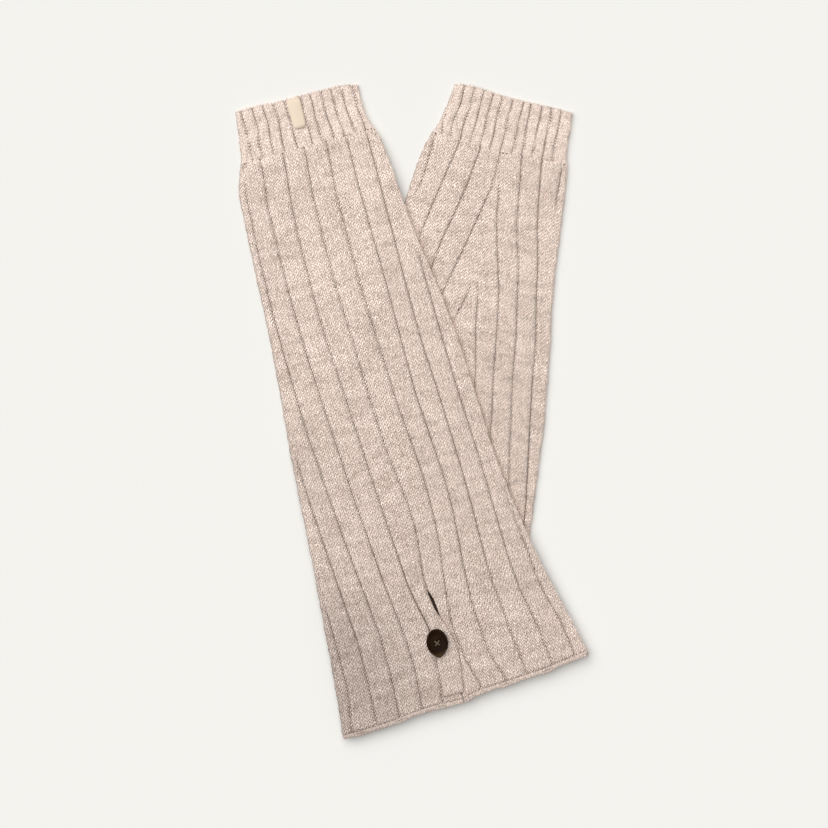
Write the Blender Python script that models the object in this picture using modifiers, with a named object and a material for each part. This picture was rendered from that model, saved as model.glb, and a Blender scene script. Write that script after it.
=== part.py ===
"""A pair of knitted leg warmers laid flat, the front leg crossed over the rear one.

Each leg is a flattened tube of cloth, open at both ends, with a narrow-ribbed cuff at its
top and wide ribs down its body. Lengths in the tables are millimetres. A leg's own
directions are along, down its centre line from the cuff's rim, and across, to the right.
"""

import math

import bmesh
import bpy
import numpy as np
from mathutils import Vector

MM = 0.001

# The cloth
WALL = 2.0                 # through a rib's crown
LAID_HEIGHT = 4.8          # both walls and the gap between them
SEAM_GAP = 0.3             # between pieces that are sewn together
FURROW_DEPTH = 0.9         # between the body's ribs
CUFF_FURROW_DEPTH = 1.0
SHOULDER = 2.3             # from a furrow to where its rib is level
CUFF_SHOULDER = 1.7

# The front leg's lift over the rear one
LIFT = 5.7
LIFT_CLEAR = 4.0           # full lift this far outside the rear leg's edge
UNDER_RUN = 40.0           # then the underside comes down to the floor over this
TOP_RUN = 75.0             # and the top, more gently, over this

CUFF_END = 42.6
HEM_WIDTH = 4.4
HEM_SWELL = 0.9
BED_DEPTH = 1.0            # the wall is pressed down this far under the button band
BED_MARGIN = 2.6           # and this far outside it
BED_RUN = 6.0              # and this far before it

BUTTON_WIDTH = 18.2
BUTTON_LENGTH = 24.0
BUTTON_HEIGHT = 3.0
BUTTON_ALONG = 469.4
BUTTON_ACROSS = -8.6
BUTTON_HOLE = 2.1
BUTTON_HOLE_PITCH = 4.6
BUTTON_RIM = 2.2

LABEL_WIDTH = 11.3
LABEL_LENGTH = 25.4
LABEL_THICK = 0.7
LABEL_ALONG = 14.1
LABEL_ACROSS = -4.6
LABEL_TURN = 2.0           # degrees, against the leg's own tilt

# Centre lines: along, x, y, tilt in degrees
FRONT_LINE = (
    (0.0, -95.3, 261.7, 15.4),
    (540.0, 48.1, -258.9, 15.4),
)
REAR_LINE = (
    (0.0, 83.9, 265.9, -13.0),
    (356.9, 3.6, -81.9, -13.0),
    (381.8, -0.2, -108.0, -4.3),
    (406.7, 0.5, -134.9, 7.6),
    (431.6, 6.5, -160.8, 17.4),
    (456.5, 14.6, -184.7, 19.0),
    (504.6, 30.3, -230.1, 19.0),
)

# Outlines: along, left edge, right edge, rise of the middle above the laid height
FRONT_EDGES = (
    (0.0, -53.5, 50.6, 0.0),
    (16.6, -55.8, 49.6, 0.0),
    (33.2, -58.1, 51.0, 0.0),
    (42.6, -60.6, 53.9, 0.2),
    (48.1, -63.5, 56.0, 0.7),
    (54.8, -65.8, 57.4, 1.0),
    (66.4, -69.1, 58.9, 1.0),
    (83.0, -70.2, 60.0, 0.8),
    (116.2, -72.2, 62.2, 0.5),
    (149.4, -74.1, 65.7, 0.4),
    (182.6, -75.7, 70.4, 0.4),
    (215.8, -78.4, 73.9, 0.4),
    (249.0, -81.3, 76.0, 0.4),
    (282.2, -84.7, 77.2, 0.4),
    (315.4, -87.1, 77.9, 0.4),
    (348.6, -89.2, 80.5, 0.4),
    (381.8, -91.5, 84.7, 0.4),
    (415.0, -94.6, 89.6, 0.4),
    (448.2, -97.5, 95.9, 0.3),
    (481.4, -100.8, 102.9, 0.2),
    (514.6, -104.8, 109.4, 0.0),
    (526.2, -106.2, 111.6, 0.0),
)
REAR_EDGES = (
    (0.0, -48.6, 51.9, 0.0),
    (16.6, -50.6, 53.4, 0.0),
    (33.2, -52.9, 54.2, 0.0),
    (45.6, -56.0, 55.8, 0.0),
    (51.5, -58.9, 57.9, 0.3),
    (58.1, -60.6, 59.3, 0.6),
    (66.4, -62.7, 60.2, 0.8),
    (83.0, -65.2, 62.1, 0.6),
    (107.9, -66.8, 64.7, 0.4),
    (132.8, -68.1, 67.1, 0.3),
    (166.0, -69.7, 71.4, 0.3),
    (199.2, -71.4, 77.6, 0.3),
    (232.4, -72.0, 82.6, 0.3),
    (265.6, -72.7, 87.6, 0.3),
    (298.8, -73.8, 90.6, 0.2),
    (332.0, -75.3, 94.0, 0.1),
    (356.9, -76.4, 96.3, 0.0),
    (381.8, -75.5, 95.5, 0.0),
    (406.7, -74.5, 94.5, 0.0),
    (431.6, -75.0, 95.0, 0.0),
    (456.5, -77.0, 96.5, 0.0),
    (504.6, -80.0, 98.0, 0.0),
)

# Body furrows: name, where its depth begins, where it ends, points as (along, across)
FRONT_FURROWS = (
    ("f0", 344, 531, ((365, -87.6), (415, -90.3), (448, -90.1), (481, -90.3), (510, -94.8))),
    ("f1", 249, 531, ((266, -81.8), (332, -79.7), (415, -74.7), (448, -72.4), (481, -73.0),
                      (510, -74.9))),
    ("f2", 33, 531, ((51, -62.4), (83, -64.9), (166, -67.9), (266, -66.6), (332, -63.1),
                     (415, -56.3), (448, -53.5), (481, -53.1), (510, -54.9))),
    ("f3", 33, 531, ((51, -43.8), (83, -47.7), (166, -50.0), (266, -47.3), (332, -44.4),
                     (415, -38.0), (448, -34.0), (481, -32.5), (510, -34.9))),
    ("f4", 33, 531, ((51, -24.9), (83, -28.2), (166, -30.9), (266, -27.6), (332, -24.5),
                     (415, -19.5), (448, -14.9), (481, -14.1), (498, -14.1), (510, -17.0))),
    ("f5", 33, 432, ((51, -6.5), (83, -9.1), (166, -11.2), (266, -8.5), (332, -5.1),
                     (415, -4.3), (441, -1.8), (449, 0.4), (458, 3.4), (467, 6.0), (479, 7.0),
                     (490, 6.2), (505, 3.8), (513, 2.7))),
    ("f6", 33, 531, ((51, 12.4), (83, 9.5), (166, 8.7), (266, 11.8), (332, 14.8),
                     (415, 11.3), (448, 8.4), (481, 10.2), (510, 15.6))),
    ("f7", 33, 531, ((51, 29.7), (83, 28.9), (166, 29.0), (266, 28.6), (332, 31.7),
                     (415, 29.2), (448, 27.8), (481, 29.9), (510, 38.8))),
    ("f8", 33, 531, ((51, 46.5), (83, 46.6), (166, 45.0), (266, 46.9), (332, 48.8),
                     (415, 48.3), (448, 50.2), (481, 52.1), (510, 55.6))),
    ("f9", 79, 531, ((166, 62.1), (266, 63.1), (332, 65.6), (415, 67.1), (448, 69.7),
                     (481, 75.5), (510, 77.9))),
    ("f10", 315, 531, ((332, 80.9), (415, 85.7), (448, 87.0), (481, 94.6), (510, 97.9))),
)
REAR_FURROWS = (
    ("l1", 33, 108, ((54, -55.4), (83, -56.9), (108, -61.4))),
    ("l2", 33, 145, ((54, -34.2), (83, -39.7), (108, -43.8), (133, -48.1))),
    ("l3", 33, 178, ((54, -16.6), (83, -19.8), (108, -24.1), (133, -29.7), (158, -33.2))),
    ("l4", 33, 208, ((54, 0.4), (83, 0.0), (108, -4.8), (133, -10.0), (166, -17.4),
                     (199, -24.1))),
    ("g1", 154, 232, ((154, 3.8), (166, 2.3), (199, -5.0), (232, -11.6))),
    ("g2", 154, 282, ((154, 5.8), (166, 10.4), (199, 13.7), (232, 21.7), (249, 24.1),
                      (282, 29.9))),
    ("r1", 62, 311, ((62, 3.8), (83, 6.6), (108, 10.4), (133, 16.8), (166, 26.4), (199, 31.7),
                     (232, 36.5), (266, 43.6), (282, 45.6), (311, 49.8))),
    ("r2", 33, 332, ((54, 19.5), (83, 24.2), (108, 28.1), (133, 36.4), (166, 41.1),
                     (199, 48.3), (232, 53.8), (266, 60.4), (299, 67.1), (332, 73.0))),
    ("r3", 33, 374, ((54, 36.7), (83, 40.5), (108, 45.0), (133, 51.0), (166, 56.9),
                     (199, 64.7), (232, 69.6), (266, 75.7), (299, 81.3), (332, 87.1),
                     (353, 89.6))),
    ("r4", 33, 104, ((54, 54.1), (83, 56.0), (108, 63.1))),
)
# Cuff furrows: across near the rim, across near the seam
FRONT_CUFF_FURROWS = (
    (-48.6, -49.6), (-39.0, -41.1), (-30.0, -31.5), (-20.8, -22.0), (-11.5, -11.2),
    (1.7, 1.2), (10.0, 9.5), (19.1, 19.5), (27.6, 28.4), (35.9, 37.5), (45.0, 46.6),
)
REAR_CUFF_FURROWS = (
    (-47.7, -50.2), (-39.8, -42.5), (-31.5, -33.6), (-23.7, -24.7), (-15.8, -16.2),
    (-7.9, -7.9), (1.2, 0.8), (10.4, 10.6), (17.0, 18.4), (26.4, 27.2), (34.9, 35.7),
    (43.0, 43.8),
)

# Wandering ends: across, along
FRONT_RIM = ((-53, 0.4), (-20, 0.6), (15, 1.0), (35, 1.8), (50, 4.8))
REAR_RIM = ((-49, 4.2), (-33, 4.0), (-15, 5.5), (0, 7.6), (16, 7.0), (51, 7.0))
REAR_SEAM = ((-56, 48.5), (-22, 51.4), (0, 52.0), (22, 51.6), (56, 49.8))
FRONT_HEM = (
    (-104.6, 525.4), (-72.2, 522.1), (-44.8, 517.1), (-10.0, 518.8), (0.0, 521.2),
    (14.1, 517.1), (68.9, 511.3), (110.4, 510.5),
)

# The slit: along, across, half its width
SLIT_ROWS = (
    (423.0, -5.0, 0.2),
    (428.0, -4.5, 0.9),
    (435.0, -3.4, 1.1),
    (442.0, -2.2, 0.9),
    (450.0, -1.6, 0.7),
    (475.0, -1.0, 0.6),
    (500.0, -0.6, 0.6),
    (530.0, -0.2, 0.6),
)
# The button band: along, left edge, right edge, share of its full thickness
BAND_ROWS = (
    (416.0, -15.6, -7.2, 0.35),
    (425.0, -15.4, -6.4, 0.8),
    (433.0, -15.2, -5.4, 1.0),
    (441.0, -14.8, -3.4, 1.0),
    (449.0, -14.5, -0.6, 1.0),
    (458.0, -14.3, 2.4, 1.0),
    (467.0, -14.2, 5.2, 1.0),
    (479.0, -14.0, 6.3, 1.0),
    (490.0, -14.0, 5.4, 1.0),
    (505.0, -14.6, 2.9, 1.0),
    (513.2, -15.6, 1.8, 1.0),
)
# Across the band: share of its width, top above its underside
BAND_PROFILE = ((0.0, 0.45), (0.12, 1.0), (0.4, 1.35), (0.7, 1.45), (0.9, 1.4), (1.0, 0.7))
BAND_UNDERSIDE = -0.55     # against the wall's crown

FRONT_STATIONS = (
    42.9, 45.5, 49.5, 55.0, 64.0, 78.0, 95.0, 112.0, 129.0, 146.0, 163.0, 180.0, 197.0, 214.0,
    231.0, 248.0, 265.0, 282.0, 299.0, 316.0, 333.0, 350.0, 367.0, 384.0, 401.0, 416.0, 428.0,
    441.0, 455.0, 469.0, 484.0, 499.0, 508.0, 513.6,
)
REAR_STATIONS = (
    50.6, 53.0, 57.0, 64.0, 76.0, 92.0, 110.0, 130.0, 152.0, 175.0, 198.0, 222.0, 248.0, 275.0,
    303.0, 331.0, 356.9, 381.8, 406.7, 431.6, 456.5, 480.0, 504.6,
)
FOLD_STEPS = (-60, -30, 0, 30, 60)


def clear_scene():
    for item in list(bpy.data.objects):
        bpy.data.objects.remove(item, do_unlink=True)


def collection(name):
    group = bpy.data.collections.new(name)
    bpy.context.scene.collection.children.link(group)
    return group


def ease(value):
    value = min(max(value, 0.0), 1.0)
    return value * value * (3 - 2 * value)


def column(rows, index):
    return [row[index] for row in rows]


def read(rows, at, index):
    """A table's column at a place between its rows, the first column being the place."""
    return float(np.interp(at, column(rows, 0), column(rows, index)))


class Leg:
    """Where one leg lies: its centre line, its outline and what it is lifted by."""

    def __init__(self, line, edges, lifted_by=None):
        self.line = line
        self.edges = edges
        self.lifted_by = lifted_by

    def place(self, along, across):
        tilt = math.radians(read(self.line, along, 3))
        x = read(self.line, along, 1) + across * math.cos(tilt)
        y = read(self.line, along, 2) + across * math.sin(tilt)
        if along < self.line[0][0] or along > self.line[-1][0]:
            over = along - min(max(along, self.line[0][0]), self.line[-1][0])
            x += over * math.sin(tilt)
            y -= over * math.cos(tilt)
        return x, y

    def outline(self):
        rows = np.linspace(self.edges[0][0], self.edges[-1][0], 60)
        left = [self.place(a, read(self.edges, a, 1)) for a in rows]
        right = [self.place(a, read(self.edges, a, 2)) for a in rows]
        return np.array(left + right[::-1])

    def lift(self, x, y, upper=1.0):
        """The lift at a place, from the underside's at 0 to the top's at 1."""
        if self.lifted_by is None:
            return 0.0
        away = distance_outside(self.lifted_by, x, y) - LIFT_CLEAR
        under = 1 - ease(away / UNDER_RUN)
        top = 1 - ease(away / TOP_RUN)
        return LIFT * (under + (top - under) * upper)


def distance_outside(outline, x, y):
    """How far a point lies outside a closed outline, negative inside it."""
    start = outline
    step = np.roll(outline, -1, axis=0) - start
    to = np.array((x, y)) - start
    share = np.clip((to * step).sum(1) / (step * step).sum(1), 0, 1)
    near = np.sqrt(((to - step * share[:, None]) ** 2).sum(1)).min()
    end = start + step
    crosses = (start[:, 1] > y) != (end[:, 1] > y)
    rise = np.where(np.abs(step[:, 1]) < 1e-9, 1e-9, step[:, 1])
    meet = start[:, 0] + (y - start[:, 1]) / rise * step[:, 0]
    inside = (crosses & (x < meet)).sum() % 2 == 1
    return -near if inside else near


def bed(along, across):
    """How far the front leg's wall is pressed down under the button band."""
    if along < BAND_ROWS[0][0] - BED_RUN:
        return 0.0
    left = read(BAND_ROWS, along, 1)
    right = read(BAND_ROWS, along, 2)
    inside = min(across - (left - BED_MARGIN), (right + BED_MARGIN) - across)
    return BED_DEPTH * ease((along - BAND_ROWS[0][0] + BED_RUN) / BED_RUN) * ease(inside / 1.2)


def furrow_marks(furrows, along, low, high):
    """Each furrow's place and depth share at a station, kept in order between the folds."""
    places = [read(points, along, 1) for _, _, _, points in furrows]
    depths = []
    for (_, first, last, _), place in zip(furrows, places):
        ends = ease((along - first) / 16) * ease((last - along) / 16)
        sides = ease((place - low) / 3) * ease((high - place) / 3)
        depths.append(ends * sides)
    count = len(places)
    for i in range(count):
        places[i] = min(max(places[i], low + 1.2 * (i + 1)), high - 1.2 * (count - i))
    for i in range(1, count):
        places[i] = max(places[i], places[i - 1] + 1.1)
    return places, depths


def top_columns(places, depths, low, high, shoulder):
    """Columns over the top, right to left: across, and how much of a furrow is there."""
    posts = [(high, 0.0)] + list(zip(places, depths))[::-1] + [(low, 0.0)]
    found = []
    for (right, deep), (left, next_deep) in zip(posts, posts[1:]):
        reach = min(shoulder, 0.32 * (right - left))
        found.append((right, deep))
        found.append((right - reach, 0.14 * deep))
        found.append(((right + left) / 2, 0.0))
        found.append((left + reach, 0.14 * next_deep))
    found.append(posts[-1])
    return found


def ring(leg, along, marks, depth, shoulder, bottom_count, swell=0.0, bend=None, pressed=False):
    """One section of the tube: its outer points, and an inner one for every second of them."""
    left = read(leg.edges, along, 1)
    right = read(leg.edges, along, 2)
    rise = read(leg.edges, along, 3)
    middle = (left + right) / 2
    half = (right - left) / 2
    fold = LAID_HEIGHT / 2
    low = left + fold
    high = right - fold
    places, depths = marks(along, low, high)
    outer = []
    inner = []

    def put(into, across, height, upper):
        at = along + (bend(across, upper == 0.0) if bend else 0.0)
        x, y = leg.place(at, across)
        into.append((x, y, height + leg.lift(x, y, upper)))

    def both(index, across_out, height_out, across_in, height_in, upper=1.0):
        put(outer, across_out, height_out, upper)
        if index % 2 == 0:
            put(inner, across_in, height_in, upper)

    index = 0
    inner_fold = fold - WALL
    for step in FOLD_STEPS:
        turn = math.radians(step)
        reach = fold + swell
        both(index, high + reach * math.cos(turn), fold + fold * math.sin(turn),
             high + inner_fold * math.cos(turn), fold + inner_fold * math.sin(turn),
             upper=(1 + math.sin(turn)) / 2)
        index += 1
    for across, share in top_columns(places, depths, low, high, shoulder):
        over = max(0.0, 1 - ((across - middle) / half) ** 2)
        crown = LAID_HEIGHT + rise * over
        down = depth * share
        if pressed:
            down = max(down, bed(along, across))
        both(index, across, crown + swell - down, across, crown - WALL)
        index += 1
    for step in reversed(FOLD_STEPS):
        turn = math.radians(step)
        reach = fold + swell
        both(index, low - reach * math.cos(turn), fold + fold * math.sin(turn),
             low - inner_fold * math.cos(turn), fold + inner_fold * math.sin(turn),
             upper=(1 + math.sin(turn)) / 2)
        index += 1
    for share in np.linspace(0, 1, bottom_count):
        across = low + (high - low) * share
        both(index, across, 0.0, across, WALL, upper=0.0)
        index += 1
    return outer, inner


def wall_between(mesh, first, second):
    count = len(first)
    for i in range(count):
        j = (i + 1) % count
        mesh.faces.new((first[i], first[j], second[j], second[i]))


def rim_between(mesh, outer, inner):
    """Closes a mouth: each inner point is met by two outer ones."""
    count = len(inner)
    for i in range(count):
        j = (i + 1) % count
        a = outer[2 * i]
        b = outer[2 * i + 1]
        c = outer[(2 * i + 2) % len(outer)]
        mesh.faces.new((a, b, inner[i]))
        mesh.faces.new((b, c, inner[j], inner[i]))


def tube(name, rings, group, colour):
    mesh = bmesh.new()
    outer = []
    inner = []
    for outer_points, inner_points in rings:
        outer.append([mesh.verts.new(Vector(p) * MM) for p in outer_points])
        inner.append([mesh.verts.new(Vector(p) * MM) for p in inner_points])
    for first, second in zip(outer, outer[1:]):
        wall_between(mesh, first, second)
    for first, second in zip(inner, inner[1:]):
        wall_between(mesh, second, first)
    rim_between(mesh, outer[0], inner[0])
    rim_between(mesh, outer[-1], inner[-1])
    return finish(name, mesh, group, colour)


def finish(name, mesh, group, colour):
    bmesh.ops.recalc_face_normals(mesh, faces=mesh.faces)
    data = bpy.data.meshes.new(name)
    mesh.to_mesh(data)
    mesh.free()
    made = bpy.data.objects.new(name, data)
    group.objects.link(made)
    if colour:
        data.materials.append(material(name, colour))
    return made


def material(name, colour):
    made = bpy.data.materials.new(name)
    made.use_nodes = True
    shader = made.node_tree.nodes["Principled BSDF"]
    shader.inputs["Base Color"].default_value = (*colour[:3], 1.0)
    shader.inputs["Roughness"].default_value = colour[3]
    return made


def line_bend(line, nominal, share):
    """How far a wandering end takes a station from its own place; straight underneath."""
    ends = (line[0], line[-1])

    def bend(across, under):
        rows = ends if under else line
        return (read(rows, across, 1) - nominal) * share
    return bend


def added(first, second):
    def bend(across, under):
        return first(across, under) + second(across, under)
    return bend


def cuff(name, leg, pairs, rim, seam, seam_end, group, colour):
    def marks(along, low, high):
        share = ease((along - 12) / 22)
        places = [near + (far - near) * share for near, far in pairs]
        depths = [ease((p - low) / 2.5) * ease((high - p) / 2.5) for p in places]
        return places, depths

    rings = []
    for share in (0.0, 0.02, 0.3, 0.65, 1.0):
        along = seam_end * share
        turn = line_bend(rim, 0.0, 1 - share)
        if seam:
            end_turn = line_bend(seam, seam_end, share)
            both_turns = added(turn, end_turn)
        else:
            both_turns = turn
        tuck = -0.35 if share == 0.0 else 0.0
        rings.append(ring(leg, along, marks, CUFF_FURROW_DEPTH, CUFF_SHOULDER, 11,
                          swell=tuck, bend=both_turns))
    return tube(name, rings, group, colour)


def body(name, leg, furrows, stations, group, colour, start=None, end=None, pressed=False):
    def marks(along, low, high):
        return furrow_marks(furrows, along, low, high)

    rings = []
    for along in stations:
        turn = None
        if start:
            share = 1 - ease((along - stations[0]) / 18)
            turn = line_bend(start, stations[0] - SEAM_GAP, share)
        if end and along > 400:
            turn = line_bend(end, stations[-1] + SEAM_GAP + HEM_WIDTH,
                             ease((along - 400) / (stations[-1] - 400)))
        rings.append(ring(leg, along, marks, FURROW_DEPTH, SHOULDER, 13, bend=turn,
                          pressed=pressed))
    return tube(name, rings, group, colour)


def hem(name, leg, furrows, line, end_station, group, colour):
    """The rolled edge: a short tube whose wall swells outwards."""
    def marks(along, low, high):
        return furrow_marks(furrows, along, low, high)

    rings = []
    base = end_station + SEAM_GAP
    for along, swell in ((0.0, -0.1), (0.7, 0.6), (2.2, HEM_SWELL), (3.7, 0.6), (4.4, -0.5)):
        at = base + along * HEM_WIDTH / 4.4
        turn = line_bend(line, base + HEM_WIDTH, 1.0)
        rings.append(ring(leg, at, marks, 0.35, SHOULDER, 13, swell=swell, bend=turn))
    return tube(name, rings, group, colour)


def slit_cutter(leg, group):
    """A thin wedge along the slit, through the upper wall and into the gap below it."""
    mesh = bmesh.new()
    sections = []
    for along, across, half in SLIT_ROWS:
        x, y = leg.place(along, across)
        floor = leg.lift(x, y) + WALL + 0.4
        corners = []
        for side, height in ((-1, floor), (1, floor), (1, floor + 8), (-1, floor + 8)):
            x, y = leg.place(along, across + side * half)
            corners.append(mesh.verts.new(Vector((x, y, height)) * MM))
        sections.append(corners)
    for first, second in zip(sections, sections[1:]):
        wall_between(mesh, first, second)
    mesh.faces.new(sections[0])
    mesh.faces.new(sections[-1][::-1])
    made = finish("slit_cutter", mesh, group, None)
    made.hide_render = True
    made.display_type = "WIRE"
    return made


def cut(target, cutter):
    step = target.modifiers.new(cutter.name, "BOOLEAN")
    step.operation = "DIFFERENCE"
    step.solver = "EXACT"
    step.object = cutter


def button_band(name, leg, group, colour):
    mesh = bmesh.new()
    sections = []
    for along, left, right, share in BAND_ROWS:
        points = []
        for part, top in BAND_PROFILE:
            points.append((left + (right - left) * part, top * (0.45 + 0.55 * share)))
        points.append((right, 0.0))
        for part in (0.66, 0.33, 0.0):
            points.append((left + (right - left) * part, 0.0))
        corners = []
        for across, height in points:
            x, y = leg.place(along, across)
            crown = LAID_HEIGHT + leg.lift(x, y) + band_rise(leg, along, across)
            corners.append(mesh.verts.new(Vector((x, y, crown + BAND_UNDERSIDE + height)) * MM))
        sections.append(corners)
    for first, second in zip(sections, sections[1:]):
        wall_between(mesh, first, second)
    mesh.faces.new(sections[0])
    mesh.faces.new(sections[-1][::-1])
    return finish(name, mesh, group, colour)


def band_rise(leg, along, across):
    left = read(leg.edges, along, 1)
    right = read(leg.edges, along, 2)
    over = 1 - ((across - (left + right) / 2) / ((right - left) / 2)) ** 2
    return read(leg.edges, along, 3) * over


def button(name, leg, group, cutters, colour):
    """An oval button with a raised rim and four holes, narrower at its lower end."""
    x, y = leg.place(BUTTON_ALONG, BUTTON_ACROSS)
    band_top = BAND_UNDERSIDE + max(column(BAND_PROFILE, 1))
    under = LAID_HEIGHT + leg.lift(x, y) + band_rise(leg, BUTTON_ALONG, BUTTON_ACROSS)
    under += band_top + SEAM_GAP
    tilt = math.radians(read(leg.line, BUTTON_ALONG, 3))
    middle = Vector((x, y, under + BUTTON_HEIGHT / 2)) * MM
    bpy.ops.mesh.primitive_cylinder_add(
        vertices=36, radius=0.5 * MM, depth=BUTTON_HEIGHT * MM, location=middle,
        rotation=(0, 0, tilt))
    made = bpy.context.active_object
    made.name = name
    made.scale = (BUTTON_WIDTH, BUTTON_LENGTH, 1.0)
    bpy.ops.object.transform_apply(location=False, rotation=False, scale=True)
    for vertex in made.data.vertices:
        if vertex.co.y < 0:
            vertex.co.x *= 1 - 0.16 * (vertex.co.y / (BUTTON_LENGTH / 2 * MM)) ** 2
    round_over = made.modifiers.new("edge", "BEVEL")
    round_over.width = 0.9 * MM
    round_over.segments = 3
    round_over.limit_method = "ANGLE"
    bpy.ops.mesh.primitive_uv_sphere_add(
        segments=36, ring_count=16, radius=1.0,
        location=middle + Vector((0, 0, BUTTON_HEIGHT / 2 + 3.2)) * MM, rotation=(0, 0, tilt))
    dish = bpy.context.active_object
    dish.name = "button_dish_cutter"
    dish.scale = ((BUTTON_WIDTH / 2 - BUTTON_RIM) * 1.35 * MM,
                  (BUTTON_LENGTH / 2 - BUTTON_RIM) * 1.35 * MM, 4.2 * MM)
    tools = [dish]
    for turn in range(4):
        angle = tilt + math.radians(45 + 90 * turn)
        reach = BUTTON_HOLE_PITCH / math.sqrt(2)
        place = middle + Vector((math.cos(angle), math.sin(angle), 0)) * reach * MM
        bpy.ops.mesh.primitive_cylinder_add(
            vertices=14, radius=BUTTON_HOLE / 2 * MM, depth=3 * BUTTON_HEIGHT * MM,
            location=place)
        hole = bpy.context.active_object
        hole.name = f"button_hole_cutter_{turn + 1}"
        tools.append(hole)
    for tool in tools:
        for owner in list(tool.users_collection):
            owner.objects.unlink(tool)
        cutters.objects.link(tool)
        tool.hide_render = True
        tool.display_type = "WIRE"
        cut(made, tool)
    for owner in list(made.users_collection):
        owner.objects.unlink(made)
    group.objects.link(made)
    made.data.materials.append(material(name, colour))
    return made


def label(name, leg, group, colour):
    """A small bare tab lying on the cuff's ribs, its upper end at the rim."""
    x, y = leg.place(LABEL_ALONG, LABEL_ACROSS)
    tilt = math.radians(read(leg.line, LABEL_ALONG, 3) - LABEL_TURN)
    height = LAID_HEIGHT + SEAM_GAP + LABEL_THICK / 2
    bpy.ops.mesh.primitive_cube_add(
        size=MM, location=Vector((x, y, height)) * MM, rotation=(0, 0, tilt))
    made = bpy.context.active_object
    made.name = name
    made.scale = (LABEL_WIDTH, LABEL_LENGTH, LABEL_THICK)
    bpy.ops.object.transform_apply(location=False, rotation=False, scale=True)
    soft = made.modifiers.new("edge", "BEVEL")
    soft.width = 0.2 * MM
    soft.segments = 2
    for owner in list(made.users_collection):
        owner.objects.unlink(made)
    group.objects.link(made)
    made.data.materials.append(material(name, colour))
    return made


def main():
    clear_scene()
    group = collection("leg_warmers")
    cutters = collection("cutters")
    cloth = (0.66, 0.54, 0.47, 0.9)
    rear = Leg(REAR_LINE, REAR_EDGES)
    front = Leg(FRONT_LINE, FRONT_EDGES, rear.outline())

    cuff("rear_leg_cuff", rear, REAR_CUFF_FURROWS, REAR_RIM, REAR_SEAM, 50.3, group, cloth)
    body("rear_leg_body", rear, REAR_FURROWS, REAR_STATIONS, group, cloth, start=REAR_SEAM)
    cuff("front_leg_cuff", front, FRONT_CUFF_FURROWS, FRONT_RIM, None, CUFF_END, group, cloth)
    front_body = body("front_leg_body", front, FRONT_FURROWS, FRONT_STATIONS, group, cloth,
                      end=FRONT_HEM, pressed=True)
    front_hem = hem("front_leg_hem", front, FRONT_FURROWS, FRONT_HEM, FRONT_STATIONS[-1],
                    group, cloth)
    slit = slit_cutter(front, cutters)
    cut(front_body, slit)
    cut(front_hem, slit)
    button_band("front_leg_button_band", front, group, cloth)
    button("front_leg_button", front, group, cutters, (0.022, 0.012, 0.007, 0.35))
    label("front_leg_label", front, group, (0.86, 0.74, 0.58, 0.7))


main()
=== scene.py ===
# %% [markdown]
# A pair of rib-knit leg warmers lies flat on a pale table, the front one crossed over the
# rear one. Each is a footless knitted tube: a cuff of narrow ribs at the top, wide flat ribs
# below it, and a rolled edge at the bottom. The front one also has a short slit, closed by
# one oval button. The rear one's lower end is hidden under the front one, and is left plain.
#
# The solids from the workshop model are loaded first. They say where everything lies, and
# every piece made here replaces one of them or sits in its place.

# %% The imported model
import math

import bmesh
import bpy
import numpy as np
from mathutils import Matrix, Vector


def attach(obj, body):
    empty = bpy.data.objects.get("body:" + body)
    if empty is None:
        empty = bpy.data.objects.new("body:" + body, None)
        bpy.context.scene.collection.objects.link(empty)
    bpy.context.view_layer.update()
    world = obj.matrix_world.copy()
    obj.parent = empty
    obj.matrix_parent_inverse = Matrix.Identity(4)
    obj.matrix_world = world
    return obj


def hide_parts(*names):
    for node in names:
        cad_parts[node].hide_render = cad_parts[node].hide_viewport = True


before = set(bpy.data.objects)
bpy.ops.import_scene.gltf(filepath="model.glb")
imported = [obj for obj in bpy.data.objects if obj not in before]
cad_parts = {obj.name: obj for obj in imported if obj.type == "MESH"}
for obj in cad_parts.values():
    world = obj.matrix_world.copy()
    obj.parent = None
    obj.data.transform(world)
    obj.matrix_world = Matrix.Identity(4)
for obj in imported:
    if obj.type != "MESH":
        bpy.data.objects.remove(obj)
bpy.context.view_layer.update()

MM = 0.001
print("nodes:", ", ".join(sorted(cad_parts)))

# %% [markdown]
# A flattened tube is easiest to describe in its own directions: how far along the leg from
# the cuff's rim, and how far across from its centre line. The tables below give, in
# millimetres, the centre line, the two edges with the rise between them, and where each
# furrow between two ribs runs. They began as the solids' tables. Some points have since been
# moved, added or taken out, to follow the photograph's lines more closely.

# %% Sizes of the cloth
WALL = 2.0
LAID_HEIGHT = 4.8
FOLD = LAID_HEIGHT / 2
SEAM_GAP = 0.3
WALE = 3.22
COURSE = 2.59
BODY_WALES = 6
CUFF_WALES = 3
CUFF_END = 42.6
REAR_CUFF_END = 50.3
HEM_START = 515.2
HEM_WIDTH = 3.1

# The rear leg lifts the front one by LIFT. That begins to fall LIFT_CLEAR outside its edge,
# and the underside and the top then take these runs to come down.
LIFT = 5.7
LIFT_CLEAR = 4.0
UNDER_RUN = 40.0
TOP_RUN = 75.0

# Centre lines: along, x, y, tilt in degrees
FRONT_LINE = (
    (0.0, -95.3, 261.7, 15.4),
    (540.0, 48.1, -258.9, 15.4),
)
REAR_LINE = (
    (0.0, 83.9, 265.9, -13.0),
    (356.9, 3.6, -81.9, -13.0),
    (381.8, -0.2, -108.0, -4.3),
    (406.7, 0.5, -134.9, 7.6),
    (431.6, 6.5, -160.8, 17.4),
    (456.5, 14.6, -184.7, 19.0),
    (504.6, 30.3, -230.1, 19.0),
)
print("a body rib is", BODY_WALES * WALE, "mm wide")

# %% [markdown]
# Both legs widen from the cuff to the lower edge, with a step where the wide ribs begin. The
# body's middle stands a little higher than its edges, most of all just below the cuff.

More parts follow.
